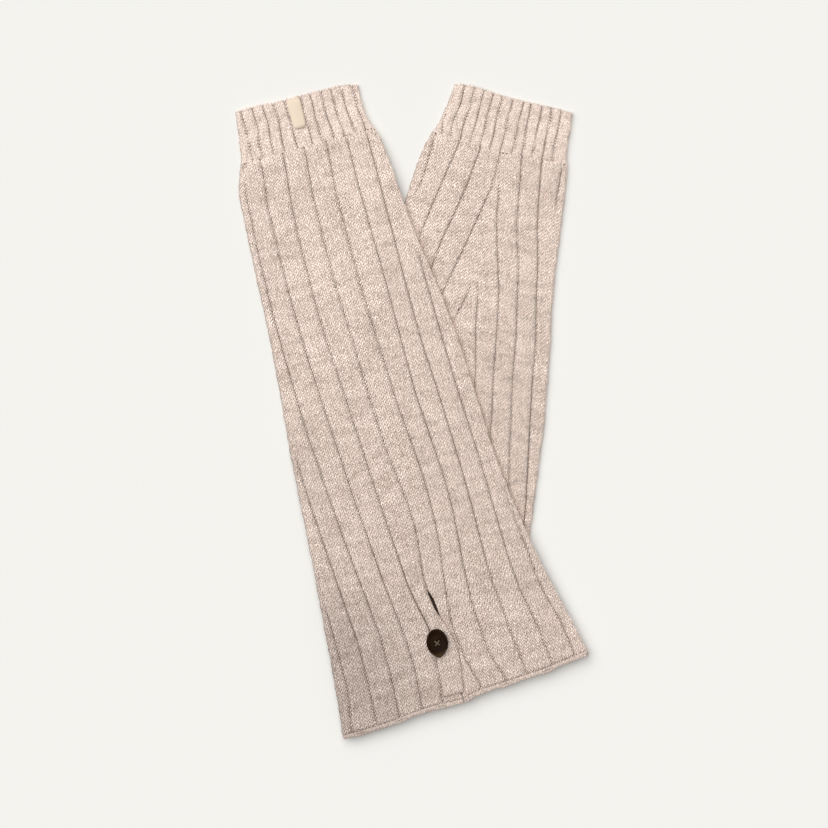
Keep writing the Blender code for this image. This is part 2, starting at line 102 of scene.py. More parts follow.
# %% Outlines: along, left edge, right edge, rise of the middle
FRONT_EDGES = (
    (0.0, -53.5, 50.6, 0.0),
    (16.6, -55.8, 49.6, 0.0),
    (33.2, -58.1, 51.0, 0.0),
    (42.6, -60.6, 53.9, 0.2),
    (48.1, -63.5, 56.0, 0.7),
    (54.8, -65.8, 57.4, 1.0),
    (66.4, -69.1, 58.9, 1.0),
    (83.0, -70.2, 60.0, 0.8),
    (116.2, -72.2, 62.2, 0.5),
    (149.4, -74.1, 65.7, 0.4),
    (182.6, -75.7, 70.4, 0.4),
    (215.8, -78.4, 73.9, 0.4),
    (249.0, -81.3, 76.0, 0.4),
    (282.2, -84.7, 77.2, 0.4),
    (315.4, -87.1, 77.9, 0.4),
    (348.6, -89.2, 80.5, 0.4),
    (381.8, -91.5, 84.7, 0.4),
    (415.0, -94.6, 89.6, 0.4),
    (448.2, -97.5, 95.9, 0.3),
    (481.4, -100.8, 102.9, 0.2),
    (514.6, -104.8, 109.4, 0.0),
    (526.2, -106.2, 111.6, 0.0),
)
REAR_EDGES = (
    (0.0, -48.6, 51.9, 0.0),
    (16.6, -50.6, 53.4, 0.0),
    (33.2, -52.9, 54.2, 0.0),
    (45.6, -56.0, 55.8, 0.0),
    (51.5, -58.9, 57.9, 0.3),
    (58.1, -60.6, 59.3, 0.6),
    (66.4, -62.7, 60.2, 0.8),
    (83.0, -65.2, 62.1, 0.6),
    (107.9, -66.8, 64.7, 0.4),
    (132.8, -68.1, 67.1, 0.3),
    (166.0, -69.7, 71.4, 0.3),
    (199.2, -71.4, 77.6, 0.3),
    (232.4, -72.0, 82.6, 0.3),
    (265.6, -72.7, 87.6, 0.3),
    (298.8, -73.8, 90.6, 0.2),
    (332.0, -75.3, 94.0, 0.1),
    (356.9, -76.4, 96.3, 0.0),
    (381.8, -75.5, 95.5, 0.0),
    (406.7, -74.5, 94.5, 0.0),
    (431.6, -75.0, 95.0, 0.0),
    (456.5, -77.0, 96.5, 0.0),
    (504.6, -80.0, 98.0, 0.0),
)
print("front leg", FRONT_EDGES[-1][2] - FRONT_EDGES[-1][1], "mm wide at its lower edge")

# %% [markdown]
# Each furrow says where it begins and ends along the leg, then the points it passes, as
# (along, across). The tables of tightness say how firmly two ribs press together over it at
# the places in TIGHT_ALONG: at 1 they close to a thin line, and at 0.3 they lie apart and the
# purl stitches show. A row that stops early keeps its last value.

# %% Furrows between the ribs
FRONT_FURROWS = (
    (356, 531, ((365, -87.6), (415, -90.3), (448, -90.1), (481, -90.7), (510, -96.2))),
    (249, 531, ((266, -82.4), (332, -79.7), (415, -74.7), (448, -72.2), (481, -73.0),
                (510, -74.9))),
    (33, 531, ((51, -62.4), (83, -64.9), (166, -67.9), (205, -68.1), (266, -67.0),
               (332, -63.1), (370, -60.3), (415, -56.1), (448, -53.1), (481, -52.9),
               (510, -55.2))),
    (33, 531, ((51, -44.4), (83, -48.3), (125, -50.0), (166, -50.6), (215, -49.7),
               (266, -47.2), (300, -45.3), (332, -43.9), (415, -37.8), (448, -33.8),
               (481, -32.4), (510, -34.8))),
    (33, 531, ((51, -24.9), (83, -28.6), (120, -30.8), (166, -31.6), (205, -30.9),
               (266, -27.6), (332, -24.6), (415, -19.7), (432, -16.9), (453, -12.3),
               (470, -11.8), (481, -13.5), (498, -14.4), (510, -17.6))),
    (33, 452, ((51, -6.5), (83, -9.7), (125, -11.2), (166, -11.6), (215, -9.8),
               (266, -8.8), (300, -7.3), (338, -3.3), (355, -1.8), (373, -1.2),
               (390, -2.6), (405, -4.7), (415, -5.3), (425, -4.9), (434, -3.1), (447, -1.5),
               (458, 2.6), (467, 6.0), (479, 7.0), (490, 6.2), (513, 2.7))),
    (33, 531, ((51, 12.4), (83, 9.3), (166, 8.5), (266, 11.6), (290, 13.6), (310, 15.2),
               (332, 16.5), (350, 16.6), (370, 16.2), (390, 14.6), (410, 12.0), (430, 9.6),
               (455, 7.0), (470, 8.0), (490, 10.8), (510, 16.4))),
    (33, 531, ((51, 29.9), (83, 28.9), (166, 29.5), (266, 28.8), (290, 30.5), (332, 32.9),
               (350, 33.3), (370, 32.7), (390, 31.2), (410, 29.3), (448, 27.8), (470, 29.0),
               (490, 31.0), (510, 37.4))),
    (33, 531, ((51, 46.8), (83, 46.7), (166, 45.2), (205, 44.9), (230, 45.3), (266, 47.1),
               (332, 49.0), (370, 49.0), (415, 48.3), (430, 48.6), (448, 50.3),
               (481, 52.5), (510, 56.0))),
    (124, 531, ((166, 61.9), (219, 62.3), (266, 63.1), (332, 65.6), (415, 66.8),
                (448, 69.6), (481, 75.5), (510, 78.1))),
    (345, 531, ((365, 79.0), (395, 81.6), (415, 83.8), (435, 84.9), (458, 88.4),
                (481, 94.3), (510, 98.2))),
)
REAR_FURROWS = (
    (33, 108, ((54, -55.2), (83, -56.4), (108, -60.4))),
    (33, 145, ((54, -34.2), (83, -39.7), (108, -44.2), (133, -48.3))),
    (33, 178, ((54, -16.0), (83, -19.5), (108, -24.0), (133, -29.7), (158, -33.2))),
    (33, 190, ((54, 1.2), (83, 0.4), (108, -4.8), (133, -9.8), (166, -17.2), (199, -24.1))),
    (158, 205, ((154, 3.4), (166, 2.5), (199, -5.4), (232, -11.6))),
    (162, 282, ((154, 5.0), (166, 9.2), (185, 11.4), (199, 13.7), (232, 21.7), (249, 24.1),
                (282, 29.9))),
    (70, 311, ((62, 3.8), (83, 6.6), (108, 10.7), (133, 17.1), (166, 26.1), (199, 31.8),
               (232, 36.9), (266, 43.2), (282, 45.6), (311, 49.8))),
    (33, 332, ((54, 19.5), (83, 24.1), (108, 27.6), (133, 34.6), (150, 39.0), (166, 41.7),
               (199, 48.4), (232, 53.0), (266, 59.6), (299, 65.6), (332, 73.0))),
    (33, 374, ((54, 36.5), (83, 40.8), (108, 45.4), (133, 51.7), (166, 57.8), (199, 65.1),
               (232, 69.7), (266, 75.7), (299, 81.5), (332, 87.4), (353, 90.0))),
    (33, 96, ((54, 53.8), (83, 55.6), (108, 62.0))),
)
TIGHT_ALONG = (60, 130, 200, 270, 340, 400, 450, 500)
FRONT_TIGHT = (
    (0.0, 0.0, 0.0, 0.0, 0.9, 1.0, 0.7, 0.4),
    (0.0, 0.0, 0.0, 0.5, 0.7, 1.0, 0.9, 0.5),
    (0.3, 0.6, 0.9, 0.6, 0.75, 1.0, 0.6, 0.8),
    (0.65, 0.5, 0.6, 0.7, 0.6, 1.1, 0.5, 0.7),
    (0.85, 0.5, 0.5, 0.6, 0.6, 1.1, 1.4, 0.5),
    (0.85, 0.35, 0.35, 0.35, 0.5, 0.8, 1.2, 0.8),
    (0.65, 0.3, 0.35, 0.6, 0.9, 0.75, 0.5, 0.7),
    (0.75, 0.75, 0.8, 1.0, 0.75, 0.95, 0.6, 0.5),
    (0.85, 1.0, 0.9, 0.9, 1.0, 0.9, 0.5, 0.35),
    (0.0, 0.4, 0.9, 0.9, 0.6, 1.0, 0.7, 0.4),
    (0.0, 0.0, 0.0, 0.0, 0.3, 0.5, 0.85, 0.7),
)
REAR_TIGHT = (
    (0.8, 0.5, 0.3),
    (0.85, 0.9, 0.5),
    (0.9, 0.85, 0.5),
    (0.5, 0.9, 0.5),
    (0.5, 0.5, 0.8, 0.5),
    (0.5, 0.3, 0.8, 0.6),
    (0.4, 0.85, 0.75, 0.75, 0.4),
    (0.8, 0.45, 0.7, 0.55, 0.5),
    (1.0, 0.9, 0.7, 1.1, 1.0, 0.7),
    (1.0, 0.3),
)
# The cuffs' furrows: across near the rim, and across near the seam
FRONT_CUFF_FURROWS = (
    (-48.6, -49.6), (-39.0, -41.1), (-30.0, -31.5), (-20.8, -22.0), (-11.5, -11.2),
    (1.7, 1.2), (10.0, 9.5), (19.1, 19.5), (27.6, 28.4), (35.9, 37.5), (45.0, 46.6),
)
REAR_CUFF_FURROWS = (
    (-47.7, -50.2), (-39.8, -42.5), (-31.5, -33.6), (-23.7, -24.7), (-15.8, -16.2),
    (-7.9, -7.9), (1.2, 0.8), (10.4, 10.6), (17.0, 18.4), (26.4, 27.2), (34.9, 35.7),
    (43.0, 43.8),
)
print(len(FRONT_FURROWS), "furrows on the front body,", len(REAR_FURROWS), "on the rear")

# %% [markdown]
# The knit's ends aren't straight: the rims, the rear cuff's seam and the hem wander by a few
# millimetres. The slit is a small lens at its top and a thin gap below that. The button band
# is its left flap, and the cloth under the band is pressed down into a bed.

# %% Wandering ends, as (across, along), and the slit and its band
FRONT_RIM = ((-53, -1.2), (-32, -1.0), (-22, 0.3), (15, 0.6), (35, 1.0), (50, 3.8))
REAR_RIM = ((-49, 5.0), (-33, 3.6), (-15, 5.2), (0, 7.4), (16, 6.6), (51, 6.4))
REAR_SEAM = ((-56, 48.5), (-22, 51.4), (0, 52.0), (22, 51.6), (56, 49.8))
FRONT_HEM = (
    (-104.6, 525.0), (-94.0, 524.9), (-68.0, 524.4), (-57.0, 523.4), (-45.0, 522.0),
    (-31.0, 521.0), (-21.0, 521.0), (-11.0, 521.8), (0.0, 522.0), (10.0, 519.0),
    (21.0, 518.1), (37.0, 517.6), (53.0, 516.4), (70.0, 515.8), (85.0, 513.6),
    (100.0, 512.0), (110.4, 510.7),
)
# Along, across, half the slit's width
SLIT_ROWS = (
    (423.5, -5.2, 0.2),
    (428.0, -4.2, 1.0),
    (434.0, -3.1, 1.35),
    (440.0, -2.3, 1.15),
    (446.0, -1.7, 0.9),
    (452.0, -1.3, 0.6),
    (475.0, -1.0, 0.6),
    (500.0, -0.6, 0.6),
    (530.0, -0.2, 0.6),
)
# Along, the band's left edge, its right edge, share of its full height
BAND_ROWS = (
    (416.0, -15.6, -7.2, 0.35),
    (425.0, -15.1, -6.4, 0.8),
    (433.0, -14.2, -5.4, 1.0),
    (441.0, -12.8, -3.4, 1.0),
    (449.0, -11.6, -0.6, 1.0),
    (458.0, -10.9, 2.4, 1.0),
    (467.0, -11.4, 5.2, 1.0),
    (479.0, -12.6, 6.3, 1.0),
    (490.0, -14.0, 5.4, 1.0),
    (505.0, -14.6, 2.9, 1.0),
    (513.2, -15.6, 1.8, 1.0),
)
BED_DEPTH = 1.0
BED_MARGIN = 2.6
BED_RUN = 6.0
print("the slit is", SLIT_ROWS[-1][0] - SLIT_ROWS[0][0], "mm long")

# %% [markdown]
# The front leg is draped: where the rear leg lies under it, it is lifted by that leg's
# height, and beyond the rear leg's edge it comes down again. How far a point is outside the
# rear leg's outline settles its lift. The underside comes down sooner than the top, because
# the air between the two walls takes up the difference.

# %% Reading the tables, and where a leg lies
# How many points are measured at a time
BATCH = 6000
OUTLINE_ROWS = 60


def ease(value):
    """A smooth step from 0 to 1."""
    value = np.clip(value, 0.0, 1.0)
    return value * value * (3 - 2 * value)


def read(rows, at, index):
    """One column of a table, between its rows."""
    rows = np.array(rows, float)
    return np.interp(at, rows[:, 0], rows[:, index])


def distance_outside(outline, x, y):
    """How far each point lies outside a closed outline, negative inside it."""
    start, step = outline, np.roll(outline, -1, axis=0) - outline
    lengths = (step * step).sum(1)
    found = np.empty(x.size)
    points = np.stack((x.ravel(), y.ravel()), 1)
    for first in range(0, len(points), BATCH):
        batch = points[first:first + BATCH]
        to = batch[:, None, :] - start[None]
        share = np.clip((to * step).sum(2) / lengths, 0, 1)
        near = np.sqrt(((to - step * share[..., None]) ** 2).sum(2)).min(1)
        above = batch[:, 1, None]
        crosses = (start[:, 1] > above) != ((start + step)[:, 1] > above)
        rise = np.where(np.abs(step[:, 1]) < 1e-9, 1e-9, step[:, 1])
        meet = start[:, 0] + (above - start[:, 1]) / rise * step[:, 0]
        inside = (crosses & (batch[:, 0, None] < meet)).sum(1) % 2 == 1
        found[first:first + BATCH] = np.where(inside, -near, near)
    return found.reshape(x.shape)


class Leg:
    """One leg's centre line and outline, and the leg that it is lifted by."""

    def __init__(self, line, edges, lifted_by=None):
        self.line = line
        self.edges = edges
        self.lifted_by = lifted_by

    def place(self, along, across):
        """The x and y of a point that is given along and across the leg."""
        tilt = np.radians(read(self.line, along, 3))
        over = along - np.clip(along, self.line[0][0], self.line[-1][0])
        x = read(self.line, along, 1) + across * np.cos(tilt) + over * np.sin(tilt)
        y = read(self.line, along, 2) + across * np.sin(tilt) - over * np.cos(tilt)
        return x, y

    def outline(self):
        rows = np.linspace(self.edges[0][0], self.edges[-1][0], OUTLINE_ROWS)
        left = np.stack(self.place(rows, read(self.edges, rows, 1)), 1)
        right = np.stack(self.place(rows, read(self.edges, rows, 2)), 1)
        return np.concatenate((left, right[::-1]))

    def lift(self, x, y, upper=1.0):
        """How far the leg is lifted here: upper is 1 on its top and 0 on its underside."""
        if self.lifted_by is None:
            return np.zeros_like(x)
        away = distance_outside(self.lifted_by, x, y) - LIFT_CLEAR
        under = 1 - ease(away / UNDER_RUN)
        top = 1 - ease(away / TOP_RUN)
        return LIFT * (under + (top - under) * upper)


rear = Leg(REAR_LINE, REAR_EDGES)
front = Leg(FRONT_LINE, FRONT_EDGES, rear.outline())
print("front leg's middle is lifted", float(front.lift(np.array(20.0), np.array(-100.0))), "mm")

# %% [markdown]
# The knit is one closed surface: an outer wall, a rounded rim at each mouth, and an inner
# wall. A plain grid has the right structure for that. Its columns go once round the tube and
# its rows go down the outside, round the lower rim, up the inside and round the upper rim.
# Once its first and last rows and columns are merged, it is a torus, which has no open edge.
#
# The columns are tied to the furrows, crowded on both sides of each one, so that a rib stays
# smooth however it wanders. Each rib swells between its furrows, and a furrow is a narrow
# cleft in a wider dip.

# %% One rib's cross-section
# Columns lie at these distances from a furrow. A rib of FULL_RIB or wider is a full one.
NEAR_FURROW = np.array((0.0, 0.35, 0.8, 1.4, 2.3))
VALLEY = NEAR_FURROW[-1]
MIDDLE_COLUMNS = 6
FULL_RIB = 9
FOLD_TURNS = np.radians(np.arange(-75, 76, 15))
UNDER_COLUMNS = 18

# A furrow's depth, how it is shared between the dip and the cleft, and the cleft's width
FURROW_DEPTH = 0.8
DIP_SHARE = 0.62
CLEFT_SHARE = 0.38
CLEFT_WIDTH = 0.5

# A furrow forms over FADE_RUN, and furrows stay at least LEAST_SPACE apart
FADE_RUN = 16
LEAST_SPACE = 1.1
BODY_RIBS = {"reach": 2.4, "crown": 0.8, "per_rib": BODY_WALES, "scallop": 0.9}
CUFF_RIBS = {"reach": 2.2, "crown": 1.0, "per_rib": CUFF_WALES, "scallop": 0.8}


def cleft(distance, share, reach):
    """How far a furrow takes the surface down, by the distance from its middle."""
    dip = np.clip(1 - distance / reach, 0, 1) ** 2
    narrow = np.exp(-(distance / CLEFT_WIDTH) ** 2)
    return share * FURROW_DEPTH * (DIP_SHARE * dip + CLEFT_SHARE * narrow)


def kept_in_order(places, low, high):
    """Furrows that have run off an edge wait beside it, in order."""
    count = places.shape[1]
    for i in range(count):
        places[:, i] = np.clip(places[:, i], low + 1.2 * (i + 1), high - 1.2 * (count - i))
    for i in range(1, count):
        places[:, i] = np.maximum(places[:, i], places[:, i - 1] + LEAST_SPACE)
    return places


def body_furrows(furrows, tightness):
    """For each row: where the furrows lie, how far each has formed, and how tight it is."""
    def marks(along, low, high):
        places = np.stack([read(points, along, 1) for _, _, points in furrows], 1)
        shares = np.stack([ease((along - first) / FADE_RUN) * ease((last - along) / FADE_RUN)
                           for first, last, _ in furrows], 1)
        sides = ease((places - low[:, None]) / 3) * ease((high[:, None] - places) / 3)
        tight = np.stack([np.interp(along, TIGHT_ALONG[:len(row)], row)
                          for row in tightness], 1)
        return kept_in_order(places, low, high), shares * sides, tight
    return marks


def cuff_furrows(pairs):
    """The same for a cuff, whose furrows run its whole length and waver a little."""
    def marks(along, low, high):
        share = ease((along - 12) / 22)[:, None]
        near, far = np.array(pairs).T
        places = near + (far - near) * share
        places = places + 0.35 * np.sin(along[:, None] / 5.3 + near * 0.7)
        sides = ease((places - low[:, None]) / 2.5) * ease((high[:, None] - places) / 2.5)
        tight = 0.55 + 0.35 * np.sin(along[:, None] / 9 + near * 1.9)
        return places, sides, tight
    return marks


print("columns from one furrow to the next:", 2 * len(NEAR_FURROW) - 1 + MIDDLE_COLUMNS)

# %% [markdown]
# An end of the cloth is round at a free rim and nearly square at a seam. It takes a few rows,
# each with how far it stands out and how far it has turned from the outer wall to the inner.
#
# Every rib has the same number of wales, as in knitting, so a wider rib only has wider
# stitches. Where a rib is only forming, its wales are counted by its width.

# %% Rows and columns
ROUND_END = (np.array((-0.5, -0.13, 0.0, -0.13, -0.5)) * WALL * 0.5,
             np.array((0.07, 0.25, 0.5, 0.75, 0.93)), 0.6 * WALL)
SQUARE_END = (np.array((-0.05, 0.0, 0.0)) * WALL, np.array((0.03, 0.10, 0.90)), 0.15 * WALL)


def grid_rows(stations, inner_stations, ends):
    """Each row's place along the leg, its depth, 0 outside and 1 inside, and its course."""
    (start_off, start_depth, start_back), (end_off, end_depth, end_back) = ends
    outer = stations.copy()
    outer[0] += start_back
    outer[-1] -= end_back
    along = np.concatenate((outer, stations[-1] + end_off, inner_stations[::-1],
                            stations[0] - start_off[::-1], outer[:1]))
    depth = np.concatenate((0 * outer, end_depth, 0 * inner_stations + 1,
                            start_depth[::-1], (0,)))
    travel = np.concatenate(((0,), np.abs(np.diff(along)) + WALL * np.abs(np.diff(depth))))
    return along, depth, along[0] / COURSE + np.cumsum(travel) / COURSE


def wale_numbers(posts, shares, per_rib, anchor):
    """The wale at each furrow, counted to the left and right from one that always runs."""
    width = posts[:, :-1] - posts[:, 1:]
    both = np.minimum(shares[:, :-1], shares[:, 1:])
    whole = both * ease((width / WALE - 0.62 * per_rib) / (0.2 * per_rib))
    wales = width / WALE * (1 - whole) + per_rib * whole
    total = np.concatenate((np.zeros((len(posts), 1)), np.cumsum(wales, 1)), 1)
    return 0.5 + total[:, anchor:anchor + 1] - total


def upper_columns(posts, shares, tight, wales, reach):
    """The upper wall's columns, from its right edge to its left: where each lies, how far it
    is taken down, how high on a rib it is, its wale, its share of a valley, its tightness."""
    across, down, arc, wale, valley, closed = [], [], [], [], [], []
    depths = shares * (0.1 + 0.9 * tight)
    count = posts.shape[1] - 1
    for k in range(count):
        here, there = slice(k, k + 1), slice(k + 1, k + 2)
        width = posts[:, here] - posts[:, there]
        near = NEAR_FURROW[None] * np.minimum(1, width / FULL_RIB)
        middle = np.linspace(0, 1, MIDDLE_COLUMNS + 2)[1:-1]
        inside = near[:, -1:] + (width - 2 * near[:, -1:]) * middle
        from_right = np.concatenate((near, inside, width - near[:, :0:-1]), 1)
        from_left = width - from_right
        share = from_right / width
        across.append(posts[:, here] - from_right)
        down.append(cleft(from_right, depths[:, here], reach)
                    + cleft(from_left, depths[:, there], reach))
        closed.append(tight[:, here] + (tight[:, there] - tight[:, here]) * (share > 0.5))
        arc.append(np.sqrt(np.clip(4 * share * (1 - share), 0, 1))
                   * np.minimum(1, width / FULL_RIB) * (0 < k < count - 1))
        wale.append(wales[:, here] * (1 - share) + wales[:, there] * share)
        valley.append(np.maximum(shares[:, here] * np.clip(1 - from_right / VALLEY, 0, 1),
                                 shares[:, there] * np.clip(1 - from_left / VALLEY, 0, 1)))
    across.append(posts[:, -1:])
    wale.append(wales[:, -1:])
    for column in (down, arc, valley, closed):
        column.append(np.zeros((len(posts), 1)))
    return [np.concatenate(c, 1) for c in (across, down, arc, wale, valley, closed)]


def fold(line, side, rough):
    """A folded edge: across and up for the outer wall, and the same for the inner one."""
    small = FOLD - WALL
    sine, cosine = np.sin(FOLD_TURNS)[None, ::side], np.cos(FOLD_TURNS)[None, ::side]
    return (line + side * FOLD * cosine + side * (rough * cosine), FOLD + FOLD * sine,
            line + side * small * cosine, FOLD + small * sine)


print("a round end has", len(ROUND_END[0]), "rows and a square one", len(SQUARE_END[0]))

# %% [markdown]
# `laid_tube` puts the rows and columns together for any of the tubes. For the finish it also
# notes the wale and the course that each point is on, so that the stitches follow the ribs,
# how deep the point lies in a furrow's valley and how tight that furrow is, which set the
# painted shade in the furrows, and which way a folded edge turns, which sets painted light on
# the right fold and painted shade on the left one.

# %% A laid tube
UNDER_WALE = 400
# A tightness beyond any furrow's, which marks the inner wall for painted shade.
INSIDE_SHADE_MARK = 2.0
ROUGH = ((0.16, 1.07, 0.4), (0.14, 0.71, 2.0), (0.16, 0.39, 1.1), (0.12, 0.17, 0.0))
LUMPS = ((0.16, 17, 41, 0.7), (0.14, -31, 23, 2.1), (0.10, 9.3, -15, 4.0), (0.08, 12, 7.7, 1.2))


def roughness(along):
    """How far the stitches at a folded edge stand out of line, in millimetres."""
    return sum(size * np.sin(along * rate + start) for size, rate, start in ROUGH)


def lumps(x, y):
    """Soft unevenness of hand-laid cloth, in millimetres."""
    return sum(size * np.sin(x / x_run + y / y_run + start)
               for size, x_run, y_run, start in LUMPS)


def laid_tube(leg, stations, inner_stations, marks, anchor, ends, bend, reach, crown, per_rib,
              scallop, pressed=None, swell=None, painted_end_shadow=0.0):
    along, depth, course = grid_rows(stations, inner_stations, ends)
    left, right, rise = (read(leg.edges, along, i) for i in (1, 2, 3))
    low, high = left + FOLD, right - FOLD
    places, shares, tight = marks(along, low, high)
    along, depth, left, right, rise, low, high = (
        v[:, None] for v in (along, depth, left, right, rise, low, high))

    edge = 0 * along
    posts = np.concatenate((high, places[:, ::-1], low), 1)
    shares = np.concatenate((edge, shares[:, ::-1], edge), 1)
    tight = np.concatenate((edge, tight[:, ::-1], edge), 1)
    wales = wale_numbers(posts, shares, per_rib, anchor)
    across, down, arc, wale, valley, closed = upper_columns(posts, shares, tight, wales, reach)
    # A painted shadow line where the body meets its rolled edge.
    if painted_end_shadow:
        to_end = np.clip((along[len(stations) - 1] - along) / VALLEY, 0, 1)
        valley = np.maximum(valley, painted_end_shadow * (1 - to_end) * (depth < 0.01))

    over = np.clip(1 - ((across - (left + right) / 2) / ((right - left) / 2)) ** 2, 0, 1)
    top = LAID_HEIGHT + rise * over
    if pressed is not None:
        down = np.maximum(down, pressed(along, across))
    if swell is not None:
        top = top + swell(along) * arc
    outer_top = top + crown * (arc - 1) * 0.5 - down + 0.25 * crown

    right_fold = fold(high, 1, roughness(along))
    left_fold = fold(low, -1, roughness(along + 311.0))
    under = low + (high - low) * np.linspace(0, 1, UNDER_COLUMNS)[None]
    blank = edge + 0 * FOLD_TURNS

    def ring(top_part, right_part=0.0, left_part=0.0, under_part=0.0):
        """Values all the way round: right fold, upper wall, left fold and underside."""
        return np.concatenate((blank + right_part, top_part, blank + left_part,
                               0 * under + under_part), 1)

    sideways = (ring(across, right_fold[0], left_fold[0], under) * (1 - depth)
                + ring(across, right_fold[2], left_fold[2], under) * depth)
    height = (ring(outer_top, right_fold[1], left_fold[1]) * (1 - depth)
              + ring(top - WALL, right_fold[3], left_fold[3], WALL) * depth)
    fold_upper = (1 + np.sin(FOLD_TURNS)) / 2
    upper = ring(1 + 0 * across, fold_upper, fold_upper[::-1])
    turning = np.cos(FOLD_TURNS) ** 2
    inside = depth > 0.99
    fold_arc = FOLD * (math.pi / 2 - FOLD_TURNS)[None] / WALE
    wale = ring(wale, wale[:, :1] + fold_arc, wale[:, -1:] - fold_arc[:, ::-1],
                UNDER_WALE + under / WALE)

    loops = 0.45 * np.cos(2 * math.pi * wale) * (1 + 0.7 * np.sin(wale * 2.3))
    near_start = np.exp(-np.clip(along - stations[0], 0, None) / 4)
    run = along - (scallop * (ring(arc) - 0.5) + loops) * (upper > 0.99) * near_start
    run = run + bend(along, sideways, upper < 0.01)
    x, y = leg.place(run, sideways)
    z = height + leg.lift(x, y, upper) + lumps(x, y) * ease(upper * 2 - 1)
    return {"places": np.stack((x, y, z), 2), "wale": wale, "course": course,
            # The inner wall is marked with a full valley and the inside mark, so that it is
            # painted in shade.
            "valley": np.maximum(ring(valley), inside),
            "tight": np.where(inside, INSIDE_SHADE_MARK, ring(closed)),
            # Which way a folded edge turns, for painted light on the right fold and painted
            # shade on the left.
            "fold_light_and_shade": ring(0 * across, turning, -turning),
            "jumps": (wale.shape[1] - UNDER_COLUMNS - 1, wale.shape[1] - 1)}


print("the cloth is uneven by up to", round(sum(row[0] for row in LUMPS), 2), "mm")

# %% [markdown]
# The grid itself comes from `create_grid`. Its corners remember which column and row they
# are, so the places worked out above are dropped straight in. Doubles are merged last, and
# the normals are worked out again so that they point out of the cloth.

# %% From a grid to a closed piece of knit
JUMP_WALES = 0.6
MERGE_DISTANCE = 1e-6


def linked(name, data):
    made = bpy.data.objects.new(name, data)
    bpy.context.scene.collection.objects.link(made)
    return made


def plain_object(name, mesh, place=None, smooth=True):
    if place is not None:
        bmesh.ops.transform(mesh, matrix=place, verts=mesh.verts)
    bmesh.ops.recalc_face_normals(mesh, faces=mesh.faces)
    for face in mesh.faces:
        face.smooth = smooth
    data = bpy.data.meshes.new(name)
    mesh.to_mesh(data)
    mesh.free()
    return linked(name, data)


def grid_mesh(name, columns, rows):
    """A plain grid, and the column and the row that each of its corners is on."""
    grid = bmesh.new()
    grid.loops.layers.uv.new("knit")
    bmesh.ops.create_grid(grid, x_segments=columns, y_segments=rows, size=0.5, calc_uvs=True)
    data = bpy.data.meshes.new(name)
    grid.to_mesh(data)
    grid.free()
    flat = np.empty(len(data.vertices) * 3)
    data.vertices.foreach_get("co", flat)
    flat = flat.reshape(-1, 3)
    column = np.rint((flat[:, 0] + 0.5) * columns).astype(int)
    row = np.rint((flat[:, 1] + 0.5) * rows).astype(int)
    return data, column, row


def write_stitches(data, column, row, made):
    """The wale and course at each face's corners. At a jump the wales don't run on."""
    first = made["wale"]
    last = np.concatenate((first[:, 1:], first[:, :1]), 1)
    for jump in made["jumps"]:
        last[:, jump] = first[:, jump] - JUMP_WALES
    corners = np.empty(len(data.loops), int)
    data.loops.foreach_get("vertex_index", corners)
    corner_column = column[corners].reshape(-1, 4)
    corner_row = row[corners].reshape(-1, 4)
    low = corner_column.min(1, keepdims=True)
    wales = np.where(corner_column == low, first[corner_row, low], last[corner_row, low])
    courses = made["course"][corner_row]
    data.uv_layers["knit"].data.foreach_set(
        "uv", np.stack((wales, courses), 2).ravel().astype(np.float32))


def knit_piece(name, made):
    places = np.concatenate((made["places"], made["places"][:, :1]), 1) * MM
    data, column, row = grid_mesh(name, places.shape[1] - 1, places.shape[0] - 1)
    data.vertices.foreach_set("co", places[row, column].ravel())
    for key in ("valley", "tight", "fold_light_and_shade"):
        if key in made:
            values = np.concatenate((made[key], made[key][:, :1]), 1)
            layer = data.attributes.new(key, "FLOAT", "POINT")
            layer.data.foreach_set("value", values[row, column])
    write_stitches(data, column, row, made)

    mesh = bmesh.new()
    mesh.from_mesh(data)
    bmesh.ops.remove_doubles(mesh, verts=mesh.verts, dist=MERGE_DISTANCE)
    bmesh.ops.recalc_face_normals(mesh, faces=mesh.faces)
    open_edges = sum(not edge.is_manifold for edge in mesh.edges)
    if mesh.calc_volume(signed=True) < 0:
        bmesh.ops.reverse_faces(mesh, faces=mesh.faces)
    for face in mesh.faces:
        face.smooth = True
    mesh.to_mesh(data)
    mesh.free()
    print(f"{name}: {len(data.polygons)} faces, {open_edges} open edges")
    return linked(name, data)


print("points closer than", MERGE_DISTANCE, "m are merged")

# %% [markdown]
# Shader maths reads best as ordinary expressions, so a small class wraps a socket and gives
# it Python's operators. Each operator is one Math node. Any other node comes from
# `Finish.node`.

# %% Sockets with arithmetic
def math_method(operation, turned=False):
    """A method that makes a Math node from the socket and whatever it is given."""
    def method(self, *others):
        values = (self, *others)
        return self.finish.node("ShaderNodeMath", {"operation": operation},
                                values[::-1] if turned else values)
    return method


class Socket:
    def __init__(self, finish, socket):
        self.finish = finish
        self.socket = socket

    __add__ = __radd__ = math_method("ADD")
    __mul__ = __rmul__ = math_method("MULTIPLY")
    __sub__ = math_method("SUBTRACT")
    __rsub__ = math_method("SUBTRACT", turned=True)
    __truediv__ = math_method("DIVIDE")
    __pow__ = math_method("POWER")
    at_least = math_method("MAXIMUM")
    at_most = math_method("MINIMUM")
    whole = math_method("FLOOR")
    part = math_method("FRACT")
    size = math_method("ABSOLUTE")
    sine = math_method("SINE")

    def ramp(self, low, high):
        """0 below low, 1 above high, and smooth between."""
        return self.finish.node(
            "ShaderNodeMapRange", {"interpolation_type": "SMOOTHSTEP"},
            {"Value": self, "From Min": low, "From Max": high})


